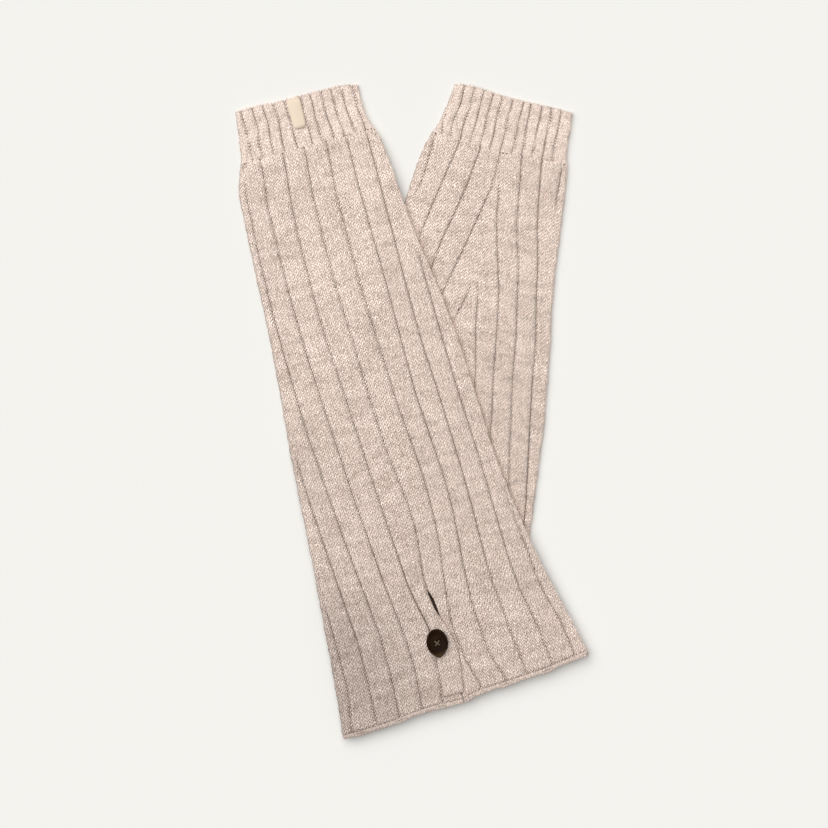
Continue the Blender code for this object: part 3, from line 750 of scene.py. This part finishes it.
class Finish:
    """A material under construction, with its Principled shader."""

    def __init__(self, name, roughness, **fixed):
        self.material = bpy.data.materials.new(name)
        self.material.use_nodes = True
        self.tree = self.material.node_tree
        self.shader = self.tree.nodes["Principled BSDF"]
        self.shader.inputs["Roughness"].default_value = roughness
        for socket, value in fixed.items():
            self.shader.inputs[socket.replace("_", " ")].default_value = value

    def node(self, kind, settings=None, values=None, output=0):
        """Makes a node, gives it its settings and its inputs, and returns one output."""
        made = self.tree.nodes.new(kind)
        for key, value in (settings or {}).items():
            setattr(made, key, value)
        pairs = values.items() if isinstance(values, dict) else enumerate(values or ())
        for key, value in pairs:
            self.plug(made.inputs[key], value)
        return Socket(self, made.outputs[output])

    def plug(self, socket, value):
        if isinstance(value, Socket):
            self.tree.links.new(value.socket, socket)
        else:
            socket.default_value = value

    def set(self, name, value):
        self.plug(self.shader.inputs[name], value)

    def colour_mix(self, factor, first, second):
        return self.node("ShaderNodeMix", {"data_type": "RGBA"},
                         {0: factor, 6: first, 7: second}, 2)

    def where(self):
        """The place in space, in metres."""
        return self.node("ShaderNodeTexCoord", None, None, 3)

    def split(self, vector):
        """The x, y and z of a vector."""
        made = self.node("ShaderNodeSeparateXYZ", None, {0: vector}).socket.node
        return [Socket(self, output) for output in made.outputs]

    def distance(self, vector, place):
        return self.node("ShaderNodeVectorMath", {"operation": "DISTANCE"},
                         {0: vector, 1: place}, 1)

    def one_each(self, x, y):
        """A random value for each whole x and y."""
        return self.node("ShaderNodeTexWhiteNoise", {"noise_dimensions": "2D"},
                         {"Vector": self.vector(x, y)})

    def vector(self, x, y, z=0.0):
        return self.node("ShaderNodeCombineXYZ", None, {"X": x, "Y": y, "Z": z})

    def noise(self, place, scale=1.0, detail=2.0, rough=0.5):
        return self.node("ShaderNodeTexNoise", None, {
            "Vector": place, "Scale": scale, "Detail": detail, "Roughness": rough})

    def bump(self, height, strength, distance):
        return self.node("ShaderNodeBump", None, {
            "Height": height, "Strength": strength, "Distance": distance})


print("sockets can be added, multiplied and limited")

# %% [markdown]
# The yarn is a melange: pale beige fibre spun with taupe and a little dusty pink, so each
# stitch differs from the next, and longer runs of darker yarn show as short streaks that
# follow the courses. Stitches are drawn from the wale and course numbers. Each one is a V of
# two slanting legs, with a small pit of painted shade between it and its neighbours. One leg
# of each V stands out more in the bump, and in the colour it is painted lighter, with deeper
# painted shade beside it, as light from the upper left falls on it.
#
# In a furrow the knit turns its back: a column of purl stitches lies at the bottom. The
# furrow is painted in shade: where the ribs press together only a thin dark line is left of
# it, and where they part it shows as a ladder, with holes of painted shade scattered down it.

# %% The knit
LIGHT_YARN = (0.94, 0.78, 0.688, 1.0)
DARK_YARN = (0.37, 0.273, 0.218, 1.0)
PINK_YARN = (0.78, 0.56, 0.50, 1.0)
# Painted shade in the furrows
FURROW_SHADE_BROWN = (0.15, 0.093, 0.060, 1.0)
# Painted shade on the tube's inner wall
INSIDE_SHADE_BROWN = (0.030, 0.016, 0.008, 1.0)

# Brightness: the mean level, what the painted shade in the pits between stitches takes from
# it, how much lighter the right folded edge is painted and how much darker the left one, how
# it fades along y, and its value at the middle
LEVEL = 1.03
STITCH_LOSS = 0.554
FOLD_LIGHT_AND_SHADE = 0.35
FADE = 0.45
MIDDLE_LIGHT = 0.985

# Broad soft patches: x, y, reach, change of brightness
TONES = ((-65, -225, 120, -0.22), (-95, -40, 50, -0.10), (150, -175, 45, 0.16))


def yarn_colour(knit, wale, course, slanted, own, fibre, streak):
    row = slanted.whole()
    grain = knit.one_each((wale * 4).whole(), (slanted * 3).whole())
    long_run = knit.noise(knit.vector(wale * 0.12, row * 0.40), 1.0, 3.0, 0.7)
    patch = knit.noise(knit.vector(wale * 0.07, course * 0.08, 3.0), 1.0, 2.0, 0.5)
    rose = knit.noise(knit.vector(wale * 0.12, row * 0.25, 11.0), 1.0, 2.0, 0.6)
    shade = (0.66 + (grain - 0.5) * 0.6 + (own - 0.5) * 0.14 + (fibre - 0.5) * 0.5
             + (long_run - 0.5) * (1.15 * streak) + (patch - 0.5) * 0.3)
    colour = knit.colour_mix(shade.at_least(0.0).at_most(1.0), DARK_YARN, LIGHT_YARN)
    return knit.colour_mix(rose.ramp(0.52, 0.75) * 0.2, colour, PINK_YARN)


def painted_furrow_shade(knit, wale, course, beat, own, valley, tight, parted):
    """Painted shade in a furrow: a thin line where the ribs press together, and scattered holes
    where they part.
    """
    stir = knit.noise(knit.vector(wale * 0.5, course * 1.1, 21.0), 1.0, 1.0, 0.6)
    ragged = valley + (stir - 0.5) * 0.45
    dash = (1 - beat) ** 1.2
    line = ragged.ramp(0.58, 0.94) * (0.50 + 0.8 * dash)
    holes = ragged.ramp(0.16, 0.52) * dash * own.ramp(0.25, 0.75) * (0.05 + 0.78 * parted)
    return (line * tight ** 1.5 * 0.46 + holes).at_most(0.9)


def daylight(knit):
    """A slow fade along the pair, and the patches of TONES."""
    spot = knit.where()
    light = knit.split(spot)[1] * FADE + MIDDLE_LIGHT
    for x, y, reach, change in TONES:
        away = knit.distance(spot, (x * MM, y * MM, 0.005)) / (reach * MM)
        light = light + (1 - away * away).at_least(0.0) ** 2 * change
    return light


def knit_finish(name, streak=1.0, pit_shade=0.66, slant=1.9, tone=1.0, rows=1.0, fibre_run=1.05):
    knit = Finish(name, 0.95, Sheen_Weight=0.1, Sheen_Roughness=0.6, Specular_IOR_Level=0.1)
    wale, course, _ = knit.split(knit.node("ShaderNodeUVMap", {"uv_map": "knit"}))
    valley, tight, fold_light_and_shade = (knit.node("ShaderNodeAttribute", {"attribute_name": key}, None, 2)
                             for key in ("valley", "tight", "fold_light_and_shade"))

    stir = knit.noise(knit.vector(wale * 0.9, course * 0.9, 5.0), 1.0, 1.0, 0.5)
    drift = knit.noise(knit.vector((wale * 2).whole() * 3.7, course * 0.15, 15.0), 1.0, 2.0, 0.6)
    wale = wale + (stir - 0.5) * 0.7
    course = course + (drift - 0.5) * 2.6
    side = wale.part() - 0.5
    sideways = side.size()
    right_leg = (side * 40).at_least(0.0).at_most(1.0)
    slanted = course + sideways * slant
    leg = (1 - (sideways * 4 - 1) ** 2).at_least(0.0) ** 0.7 * 0.7 + 0.3
    beat = (slanted.part() * math.pi).sine()
    # Painted light and shade of the stitches: one leg of each V lighter, the pits between them
    # darker. The bump takes the same values as relief.
    stitch = leg * (1 - (1 - beat) * (rows + 0.3 * rows * right_leg)) * (0.88 + 0.12 * right_leg)

    own = knit.one_each((wale * 2).whole(), slanted.whole())
    fibre = knit.noise(knit.vector(wale * 1.3, course * fibre_run, 7.0), 1.0, 0.0, 0.5)
    parted = (1 - tight).at_least(0.0)
    open_pit_shade = (valley.ramp(0.05, 0.55) * (0.3 + 0.7 * parted)).at_least(fold_light_and_shade * -0.7)
    furrow_shade = painted_furrow_shade(knit, wale, course, beat, own, valley, tight, parted)
    # The colour's painted shade: in the pits between stitches, deeper where they open, and in
    # the furrows.
    lit = (1 - (1 - stitch) * pit_shade * (1 + open_pit_shade * 0.22)) * (1 - furrow_shade)
    level = tone * LEVEL / (1 - STITCH_LOSS * pit_shade)
    # Painted light on the right folded edge and painted shade on the left one.
    brightness = lit * (1 + fold_light_and_shade * FOLD_LIGHT_AND_SHADE) * daylight(knit) * level
    colour = knit.node("ShaderNodeVectorMath", {"operation": "SCALE"}, {
        "Vector": yarn_colour(knit, wale, course, slanted, own, fibre, streak),
        "Scale": brightness})
    # The furrows' painted shade pulls the colour towards dark brown.
    colour = knit.colour_mix(furrow_shade.at_most(0.8), colour, FURROW_SHADE_BROWN)
    # The inner wall is painted near-black as shade.
    colour = knit.colour_mix(tight.ramp(1.5, INSIDE_SHADE_MARK) * 0.85, colour, INSIDE_SHADE_BROWN)
    knit.set("Base Color", colour)
    knit.set("Normal", knit.bump(stitch + fibre * 0.4 - furrow_shade, 0.7, 0.0006))
    return knit.material


body_knit = knit_finish("melange_knit")
cuff_knit = knit_finish("cuff_knit", streak=0.6, pit_shade=0.52, slant=1.2, tone=0.93, rows=0.62,
                        fibre_run=0.28)
# The rolled edge is lighter than the body: partly its own lighter tint, partly painted light
# against the shade on its steep front.
edge_knit = knit_finish("rolled_edge_knit", pit_shade=0.42, streak=0.4, tone=1.10)
print("three knit finishes")

# %% [markdown]
# A bend says how far a wandering end takes a row from its own place. It fades out away from
# that end, and on the underside the ends are straight.

# %% Bends
REAR_BODY_START = 50.6
REAR_SEAM_LINE = 50.3
HEAD_HEIGHT = 0.7


def straight_or(line, across, underneath):
    wander = read(line, across, 1)
    ends = (line[0], line[-1])
    return np.where(underneath, read(ends, across, 1), wander)


def cuff_bend(rim, end, seam=None):
    def bend(along, across, underneath):
        share = np.clip(along / end, 0, 1)
        found = straight_or(rim, across, underneath) * (1 - share)
        if seam is not None:
            found = found + (straight_or(seam, across, underneath) - end) * share
        return found
    return bend


def rear_body_bend(along, across, underneath):
    share = 1 - ease((along - REAR_BODY_START) / 18)
    return (straight_or(REAR_SEAM, across, underneath) - REAR_SEAM_LINE) * share


def front_body_bend(along, across, underneath):
    share = ease((along - 400) / 113.6)
    return (straight_or(FRONT_HEM, across, underneath) - HEM_START - HEM_WIDTH) * share


def rib_heads(first):
    """The first centimetre of a body rib rises out of the cuff and then settles."""
    return lambda along: (HEAD_HEIGHT * ease((along - first) / 3.5)
                          * (1 - ease((along - first - 4) / 14)))


print("the front hem slants by", round(FRONT_HEM[0][1] - FRONT_HEM[-1][1], 1), "mm")

# %% [markdown]
# The rear leg comes first, because the front one lies on it. Its back shows: ribs fan out
# round two gores that widen the calf. Below the crossing it is hidden, and is left plain.
#
# The two cuffs are made alike. The anchor is the furrow that the wales are counted from.

# %% Rear leg
CUFF_ANCHOR = 6
REAR_ANCHOR = 2
FRONT_ANCHOR = 7


def finished(piece, material, node):
    piece.data.materials.append(material)
    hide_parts(node)
    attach(piece, "root")
    return piece


def cuff(leg, name, end, rows, furrows, bend):
    made = laid_tube(leg, np.linspace(0, end, rows), np.linspace(3, end - 2, 5),
                     cuff_furrows(furrows), CUFF_ANCHOR, (ROUND_END, SQUARE_END), bend,
                     **CUFF_RIBS)
    return finished(knit_piece(f"{name}_cuff", made), cuff_knit, f"{name}_leg_cuff")


rear_rows = np.concatenate((np.linspace(50.35, 70, 13), np.arange(72.2, 376, 2.2),
                            np.linspace(380, 504.6, 24)))
rear_made = laid_tube(rear, rear_rows, np.linspace(53, 502, 16),
                      body_furrows(REAR_FURROWS, REAR_TIGHT), REAR_ANCHOR,
                      (SQUARE_END, ROUND_END), rear_body_bend, **BODY_RIBS,
                      swell=rib_heads(50.4))
rear_body = finished(knit_piece("rear_body", rear_made), body_knit, "rear_leg_body")
rear_cuff = cuff(rear, "rear", REAR_CUFF_END, 30, REAR_CUFF_FURROWS,
                 cuff_bend(REAR_RIM, REAR_CUFF_END, REAR_SEAM))

# %% [markdown]
# The front leg has the slit cut through its upper wall. The wall is pressed down where the
# button band lies on it, so that the band's edge stands only a little proud. END_SHADOW is
# the painted shadow line where the body meets its rolled edge.

# %% Front leg
END_SHADOW = 0.85


def bed(along, across):
    left, right = read(BAND_ROWS, along, 1), read(BAND_ROWS, along, 2)
    inside = np.minimum(across - (left - BED_MARGIN), (right + BED_MARGIN) - across)
    return (BED_DEPTH * ease((along - BAND_ROWS[0][0] + BED_RUN) / BED_RUN)
            * ease(inside / 1.2))


front_rows = np.concatenate((np.linspace(42.65, 62, 13), np.arange(64.2, 512, 2.2),
                             (512.8, 515.1)))
front_made = laid_tube(front, front_rows, np.linspace(45, 512, 18),
                       body_furrows(FRONT_FURROWS, FRONT_TIGHT), FRONT_ANCHOR,
                       (SQUARE_END, SQUARE_END), front_body_bend, **BODY_RIBS, pressed=bed,
                       swell=rib_heads(42.7), painted_end_shadow=END_SHADOW)
front_body = finished(knit_piece("front_body", front_made), body_knit, "front_leg_body")
front_cuff = cuff(front, "front", CUFF_END, 27, FRONT_CUFF_FURROWS,
                  cuff_bend(FRONT_RIM, CUFF_END))

# %% [markdown]
# The rolled edge is the knit's own end curling over. Here it is a thin ring: the grid's
# columns follow the mouth and its rows go round the roll. Only the half that faces away from
# the leg wavers, so the first and last rows lie a fraction of a millimetre apart. They aren't
# merged, and a fine open seam is left between them.

# %% The rolled edge
EDGE_COLUMNS = 260
EDGE_TURNS = np.linspace(0, 2 * math.pi, 17)
EDGE_COURSES = 5
EDGE_THICKNESS = 1.2


def rolled_edge(leg, start, width, thick, line):
    middle_line = np.full((len(EDGE_TURNS), 1), start + width / 2)
    left, right = read(leg.edges, start + width / 2, 1), read(leg.edges, start + width / 2, 2)
    low, high = left + FOLD, right - FOLD
    top = np.linspace(high, low, EDGE_COLUMNS)
    under = np.linspace(low, high, UNDER_COLUMNS)
    sine, cosine = np.sin(FOLD_TURNS), np.cos(FOLD_TURNS)
    middle = FOLD - WALL / 2
    side = np.concatenate((high + middle * cosine, top, low - middle * cosine[::-1], under))
    out = np.concatenate((cosine, 0 * top, -cosine[::-1], 0 * under))
    up = np.concatenate((sine, 1 + 0 * top, sine[::-1], 0 * under - 1))
    height = FOLD + middle * up
    height[-UNDER_COLUMNS:] = thick
    upper = np.clip((1 + up) / 2, 0, 1)
    loops = np.cos(side / WALE * 2 * math.pi)
    wander = 0.30 * np.sin(side / 5.1) + 0.25 * np.sin(side / 2.9 + 1.3)
    turned = EDGE_TURNS[:, None]
    inwards = (np.sin(turned) < 0) * 1.0
    forward = (np.sign(np.sin(turned)) * np.abs(np.sin(turned)) ** (1 - 0.5 * inwards)
               * (width / 2 + (0.8 + 0.25 * loops) * (1 - inwards)))
    outward = (np.sign(np.cos(turned)) * np.abs(np.cos(turned)) ** (1 - 0.5 * inwards)
               * thick * (1 + 0.09 * loops + 0.08 * np.sin(side / 6.7)))
    across = side[None] + out[None] * outward
    run = (middle_line + wander[None] * (1 - inwards) + forward
           + straight_or(line, across, upper[None] + 0 * across < 0.01) - start - width)
    x, y = leg.place(run, across)
    z = (height[None] + up[None] * outward + leg.lift(x, y, upper[None] + 0 * x)
         + lumps(x, y) * ease(upper * 2 - 1)[None])
    wale = 0.5 - np.cumsum(np.concatenate(((0,), np.abs(np.diff(side)) + 0.05))) / WALE
    return {"places": np.stack((x, y, z), 2), "wale": np.repeat(wale[None], len(turned), 0),
            "course": EDGE_TURNS / (2 * math.pi) * EDGE_COURSES, "valley": 0 * x,
            "jumps": (len(side) - 1,)}


front_hem = finished(knit_piece("front_hem", rolled_edge(
    front, HEM_START, HEM_WIDTH, EDGE_THICKNESS, FRONT_HEM)), edge_knit, "front_leg_hem")

# %% [markdown]
# The slit is cut by a Boolean with a thin wedge, made from a strip that is pulled upwards.
# The result is applied at once, and the wedge is thrown away.

# %% Cutting the slit
def slit_wedge():
    mesh = bmesh.new()
    bmesh.ops.create_grid(mesh, x_segments=1, y_segments=len(SLIT_ROWS) - 1, size=0.5)
    for corner in mesh.verts:
        row = round((corner.co.y + 0.5) * (len(SLIT_ROWS) - 1))
        along, across, half = SLIT_ROWS[row]
        across += half * math.copysign(1, corner.co.x)
        x, y = front.place(along, across)
        corner.co = Vector((x, y, float(front.lift(x, y)) + WALL + 0.4)) * MM
    pulled = bmesh.ops.extrude_face_region(mesh, geom=mesh.faces[:])["geom"]
    bmesh.ops.translate(mesh, vec=(0, 0, 8 * MM),
                        verts=[g for g in pulled if isinstance(g, bmesh.types.BMVert)])
    return plain_object("slit_wedge", mesh, smooth=False)


def cut_away(piece, tools):
    for tool in tools:
        step = piece.modifiers.new(tool.name, "BOOLEAN")
        step.operation = "DIFFERENCE"
        step.solver = "EXACT"
        step.object = tool
    bpy.context.view_layer.update()
    made = bpy.data.meshes.new_from_object(
        piece.evaluated_get(bpy.context.evaluated_depsgraph_get()))
    old = piece.data
    piece.modifiers.clear()
    piece.data = made
    made.name = piece.name
    bpy.data.meshes.remove(old)
    return len(made.polygons)


wedge = slit_wedge()
print("after the cut:", cut_away(front_body, [wedge]), cut_away(front_hem, [wedge]), "faces")
bpy.data.objects.remove(wedge, do_unlink=True)

# %% [markdown]
# The button band is the slit's left flap. It follows the rib beside the slit, laps over the
# right flap below the opening, and has a soft rounded section.

# %% Button band
# The band's section: share of its width, height
BAND_PROFILE = ((0.0, 0.35), (0.05, 0.7), (0.12, 1.0), (0.25, 1.25), (0.4, 1.38), (0.55, 1.42),
                (0.7, 1.46), (0.82, 1.46), (0.9, 1.4), (0.96, 1.15), (1.0, 0.7))
BAND_TOP = max(height for _, height in BAND_PROFILE)
BAND_UNDERSIDE = -0.55
BAND_STATIONS = 60


def button_band():
    stations = np.linspace(BAND_ROWS[0][0], BAND_ROWS[-1][0], BAND_STATIONS)
    left, right, thick = (read(BAND_ROWS, stations, i)[:, None] for i in (1, 2, 3))
    part, top = (np.array(v)[None] for v in zip(*BAND_PROFILE))
    back = np.array((1.0, 0.75, 0.5, 0.25, 0.0))[None]
    share = np.concatenate((part, back), 1)
    height = np.concatenate((top * (0.45 + 0.55 * thick), 0 * back + 0 * left), 1)
    ends = ease((stations - stations[0]) / 3)[:, None]
    height = height * (0.3 + 0.7 * ends)
    across = left + (right - left) * share
    along = stations[:, None] + 0 * across
    x, y = front.place(along, across)
    rise = read(FRONT_EDGES, along, 3)
    z = LAID_HEIGHT + front.lift(x, y) + rise + BAND_UNDERSIDE + height + lumps(x, y)
    wale = 0.5 + (across - left) / WALE
    return {"places": np.stack((x, y, z), 2), "wale": wale, "course": stations / COURSE,
            "valley": 0 * x, "jumps": (across.shape[1] - 1,)}


def strip_piece(name, made):
    """Like knit_piece, but open at both ends, which are then filled."""
    piece = knit_piece(name, made)
    mesh = bmesh.new()
    mesh.from_mesh(piece.data)
    rim = [edge for edge in mesh.edges if edge.is_boundary]
    bmesh.ops.holes_fill(mesh, edges=rim)
    bmesh.ops.recalc_face_normals(mesh, faces=mesh.faces)
    mesh.to_mesh(piece.data)
    mesh.free()
    return piece


band = finished(strip_piece("button_band", button_band()), body_knit, "front_leg_button_band")

# %% [markdown]
# The button is turned: rings of a circle are stepped outwards and down, then the whole is
# made oval and a little narrower below. Four holes go through its dished middle, and a
# crossed thread holds it.

# %% The button
BUTTON_ALONG = 468.5
BUTTON_ACROSS = -8.8
BUTTON_SIZE = (17.9, 23.9)
BUTTON_TURN = 9.0
BUTTON_TAPER = 0.32
BUTTON_RISE = 0.25
# The button's rings, from its dished middle outwards and down: share of its size, height
BUTTON_RINGS = ((0.30, 1.7), (0.58, 1.75), (0.72, 2.1), (0.80, 2.6), (0.87, 2.95), (0.93, 3.0),
                (0.975, 2.75), (1.0, 2.2), (1.0, 1.2), (0.96, 0.5), (0.86, 0.1), (0.7, 0.0))
button_x, button_y = front.place(BUTTON_ALONG, BUTTON_ACROSS)
button_base = (LAID_HEIGHT + float(front.lift(button_x, button_y)) + BUTTON_RISE
               + BAND_UNDERSIDE + BAND_TOP + SEAM_GAP)
button_place = (Matrix.Translation(Vector((button_x, button_y, button_base)) * MM)
                @ Matrix.Rotation(math.radians(BUTTON_TURN), 4, "Z"))


def button_blank():
    mesh = bmesh.new()
    width, length = BUTTON_SIZE
    ring = bmesh.ops.create_circle(mesh, segments=56, radius=1.0, cap_ends=False)["verts"]
    edges = list({e for v in ring for e in v.link_edges})
    first_share, first_height = BUTTON_RINGS[0]
    bmesh.ops.scale(mesh, vec=(first_share, first_share, 1), verts=ring)
    bmesh.ops.translate(mesh, vec=(0, 0, first_height), verts=ring)
    bmesh.ops.contextual_create(mesh, geom=edges)
    now_share, now_height = first_share, first_height
    for share, height in BUTTON_RINGS[1:]:
        made = bmesh.ops.extrude_edge_only(mesh, edges=edges)["geom"]
        ring = [g for g in made if isinstance(g, bmesh.types.BMVert)]
        edges = [g for g in made if isinstance(g, bmesh.types.BMEdge)]
        grow = share / now_share
        bmesh.ops.scale(mesh, vec=(grow, grow, 1), verts=ring)
        bmesh.ops.translate(mesh, vec=(0, 0, height - now_height), verts=ring)
        now_share, now_height = share, height
    bmesh.ops.contextual_create(mesh, geom=edges)
    for corner in mesh.verts:
        taper = 1 - BUTTON_TAPER * min(corner.co.y, 0) ** 2
        corner.co = Vector((corner.co.x * taper * width / 2, corner.co.y * length / 2,
                            corner.co.z)) * MM
    return plain_object("button", mesh, button_place)


HOLE_OUT = 2.5
HOLE_RADIUS = 0.8
HOLE_PLACES = [Vector((HOLE_OUT * math.cos(t), HOLE_OUT * math.sin(t), 0))
               for t in (math.radians(45 + 90 * i) for i in range(4))]


def button_holes():
    tools = []
    for place in HOLE_PLACES:
        mesh = bmesh.new()
        bmesh.ops.create_cone(mesh, cap_ends=True, segments=20, radius1=HOLE_RADIUS * MM,
                              radius2=HOLE_RADIUS * MM, depth=12 * MM)
        tools.append(plain_object("hole", mesh, button_place @ Matrix.Translation(place * MM)))
    return tools


button = button_blank()
holes = button_holes()
print("button:", cut_away(button, holes), "faces")
for hole in holes:
    bpy.data.objects.remove(hole, do_unlink=True)

# %% [markdown]
# The button is dark horn with a fine grain and a few lighter clouds. Its lower end, which is
# farthest from a place a little above its middle, is paler.

# %% Button finish
DARK_HORN = (0.0125, 0.0042, 0.0010, 1)
PALE_HORN = (0.070, 0.040, 0.013, 1)
PALE_FROM, PALE_TO = 0.0105, 0.0160
horn = Finish("button_horn", 0.5, Specular_IOR_Level=0.06)
place = horn.where()
grain = horn.noise(place, 260.0, 3.0, 0.6)
cloud = horn.noise(place, 110.0, 2.0, 0.5)
away = horn.distance(place, button_place @ Vector((-0.5 * MM, 4.0 * MM, 1.5 * MM)))
tone = ((grain * 0.5 + cloud * 0.5).ramp(0.40, 0.68) * 0.2
        + away.ramp(PALE_FROM, PALE_TO) * 0.75).at_most(1.0)
horn.set("Base Color", horn.colour_mix(tone, DARK_HORN, PALE_HORN))
horn.set("Roughness", 0.42 + grain * 0.2)
horn.set("Normal", horn.bump(grain, 0.25, 0.0002))
finished(button, horn.material, "front_leg_button")
print("the horn grows paler from", PALE_FROM, "to", PALE_TO, "m away")

# %% [markdown]
# Each stitch of thread is a thin rod bent over two holes. Two of them cross in the middle of
# the button.

# %% Thread
THREAD_RADIUS = 0.55
THREAD_STEPS = 10
DARK_THREAD = (0.08, 0.056, 0.030, 1)
PALE_THREAD = (0.20, 0.155, 0.10, 1)
# The two stitches: from which hole, to which hole, how high
STITCHES = ((0, 2, 1.2), (1, 3, 1.75))


def stitch_bar(name, first, second, rise):
    mesh = bmesh.new()
    bmesh.ops.create_cone(mesh, cap_ends=True, segments=10, radius1=THREAD_RADIUS * MM,
                          radius2=THREAD_RADIUS * MM, depth=1.0)
    bmesh.ops.subdivide_edges(mesh, edges=[e for e in mesh.edges
                                           if abs(e.verts[0].co.z - e.verts[1].co.z) > 0.5],
                              cuts=THREAD_STEPS - 1)
    direction = (second - first).normalized()
    sidewise = Vector((-direction.y, direction.x, 0))
    reach = (second - first).length / 2 + 0.15
    for corner in mesh.verts:
        turn = math.pi * corner.co.z
        centre = ((first + second) / 2 + direction * reach * math.sin(turn)
                  + Vector((0, 0, rise * math.cos(turn) ** 0.7 - 0.9)))
        normal = Vector((direction.x * math.sin(turn), direction.y * math.sin(turn),
                         math.cos(turn)))
        corner.co = (centre * MM + sidewise * corner.co.x + normal * corner.co.y)
    return plain_object(name, mesh, button_place @ Matrix.Translation((0, 0, 1.75 * MM)))


thread = Finish("button_thread", 0.7)
thread.set("Base Color", thread.colour_mix(thread.noise(thread.where(), 900.0, 2.0, 0.5),
                                           DARK_THREAD, PALE_THREAD))
for number, (a, b, rise) in enumerate(STITCHES):
    bar = stitch_bar(f"button_thread_{number + 1}", HOLE_PLACES[a], HOLE_PLACES[b], rise)
    bar.data.materials.append(thread.material)
    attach(bar, "root")
print("two crossed stitches of thread")

# %% [markdown]
# The label is a small folded tape, sewn at the rim and lying on the cuff's ribs. It is bare.

# %% Label
LABEL_SIZE = (11.3, 25.4, 0.7)
LABEL_ALONG = 14.1
LABEL_ACROSS = -4.7
LABEL_TURN = 14.5
DARK_TAPE = (0.80, 0.66, 0.51, 1)
PALE_TAPE = (0.89, 0.74, 0.585, 1)


def tape():
    mesh = bmesh.new()
    bmesh.ops.create_cube(mesh, size=1.0)
    bmesh.ops.subdivide_edges(mesh, edges=[e for e in mesh.edges], cuts=7, use_grid_fill=True)
    x, y = front.place(LABEL_ALONG, LABEL_ACROSS)
    for corner in mesh.verts:
        u, v, w = corner.co
        soft = 1 - 0.10 * abs(2 * u) ** 6 * abs(2 * v) ** 6
        lift = 0.28 * math.cos(u * 5.2) * (0.4 + 0.6 * (0.5 - v)) + 0.15 * math.sin(v * 7)
        thick = LABEL_SIZE[2] * (1 - 0.55 * max(abs(2 * u) ** 8, abs(2 * v) ** 14))
        corner.co = Vector((u * LABEL_SIZE[0] * soft * (1 + 0.14 * v), v * LABEL_SIZE[1] * soft,
                            w * thick + lift)) * MM
    place = (Matrix.Translation(Vector((x, y, LAID_HEIGHT + 0.85)) * MM)
             @ Matrix.Rotation(math.radians(LABEL_TURN), 4, "Z"))
    return plain_object("label", mesh, place)


label = tape()
woven = Finish("label_tape", 0.75, Sheen_Weight=0.15)
spot = woven.where()
turned = woven.node("ShaderNodeMapping", None, {
    "Vector": spot, "Rotation": (0, 0, math.radians(-LABEL_TURN)), "Scale": (2600, 2600, 1)})
warp, weft, _ = woven.split(turned)
weave = warp.sine() * weft.sine()
mottle = woven.noise(spot, 420.0, 3.0, 0.6)
woven.set("Base Color", woven.colour_mix(mottle, DARK_TAPE, PALE_TAPE))
woven.set("Normal", woven.bump(weave, 0.3, 0.0001))
finished(label, woven.material, "front_leg_label")
print("label", LABEL_SIZE, "mm")

# %% [markdown]


# %% [markdown]
# The table is a plain pale floor under broad, soft light from the upper left. The camera
# looks straight down through a long lens, so that nothing leans.

# %% Floor, light and camera
FLOOR_COLOUR = (0.862, 0.855, 0.823, 1)
SKY_STRENGTH = 0.26
SUN_STRENGTH = 2.78
SUN_WIDTH = 74
PHOTO_PIXELS = 828
PIXEL = 0.83 * MM
LENS = 120.0
SENSOR = 36.0
FOCUS_HEIGHT = 0.006

table_mesh = bmesh.new()
bmesh.ops.create_grid(table_mesh, x_segments=1, y_segments=1, size=30.0)
bmesh.ops.translate(table_mesh, vec=(0, 0, -0.0002), verts=table_mesh.verts)
floor = plain_object("floor", table_mesh, smooth=False)
paper = Finish("pale_floor", 0.9, Specular_IOR_Level=0.0)
paper.set("Base Color", FLOOR_COLOUR)
floor.data.materials.append(paper.material)

world = bpy.data.worlds.new("studio")
world.use_nodes = True
sky = world.node_tree.nodes["Background"].inputs
sky["Color"].default_value = (1.0, 1.0, 1.0, 1)
sky["Strength"].default_value = SKY_STRENGTH
bpy.context.scene.world = world

sun = bpy.data.lights.new("key", "SUN")
sun.energy = SUN_STRENGTH
sun.angle = math.radians(SUN_WIDTH)
key = linked("key", sun)
key.rotation_euler = Vector((0.55, -0.55, -1.5)).to_track_quat("-Z", "Y").to_euler()

lens = bpy.data.cameras.new("camera")
lens.lens = LENS
lens.sensor_width = SENSOR
camera = linked("camera", lens)
camera_height = PHOTO_PIXELS * PIXEL / 2 / (SENSOR / 2 / LENS) + FOCUS_HEIGHT
camera.location = (1.36 * MM, -2.63 * MM, camera_height)
bpy.context.scene.camera = camera
bpy.context.scene.view_settings.view_transform = "Standard"
print("camera", [round(v, 3) for v in camera.location])
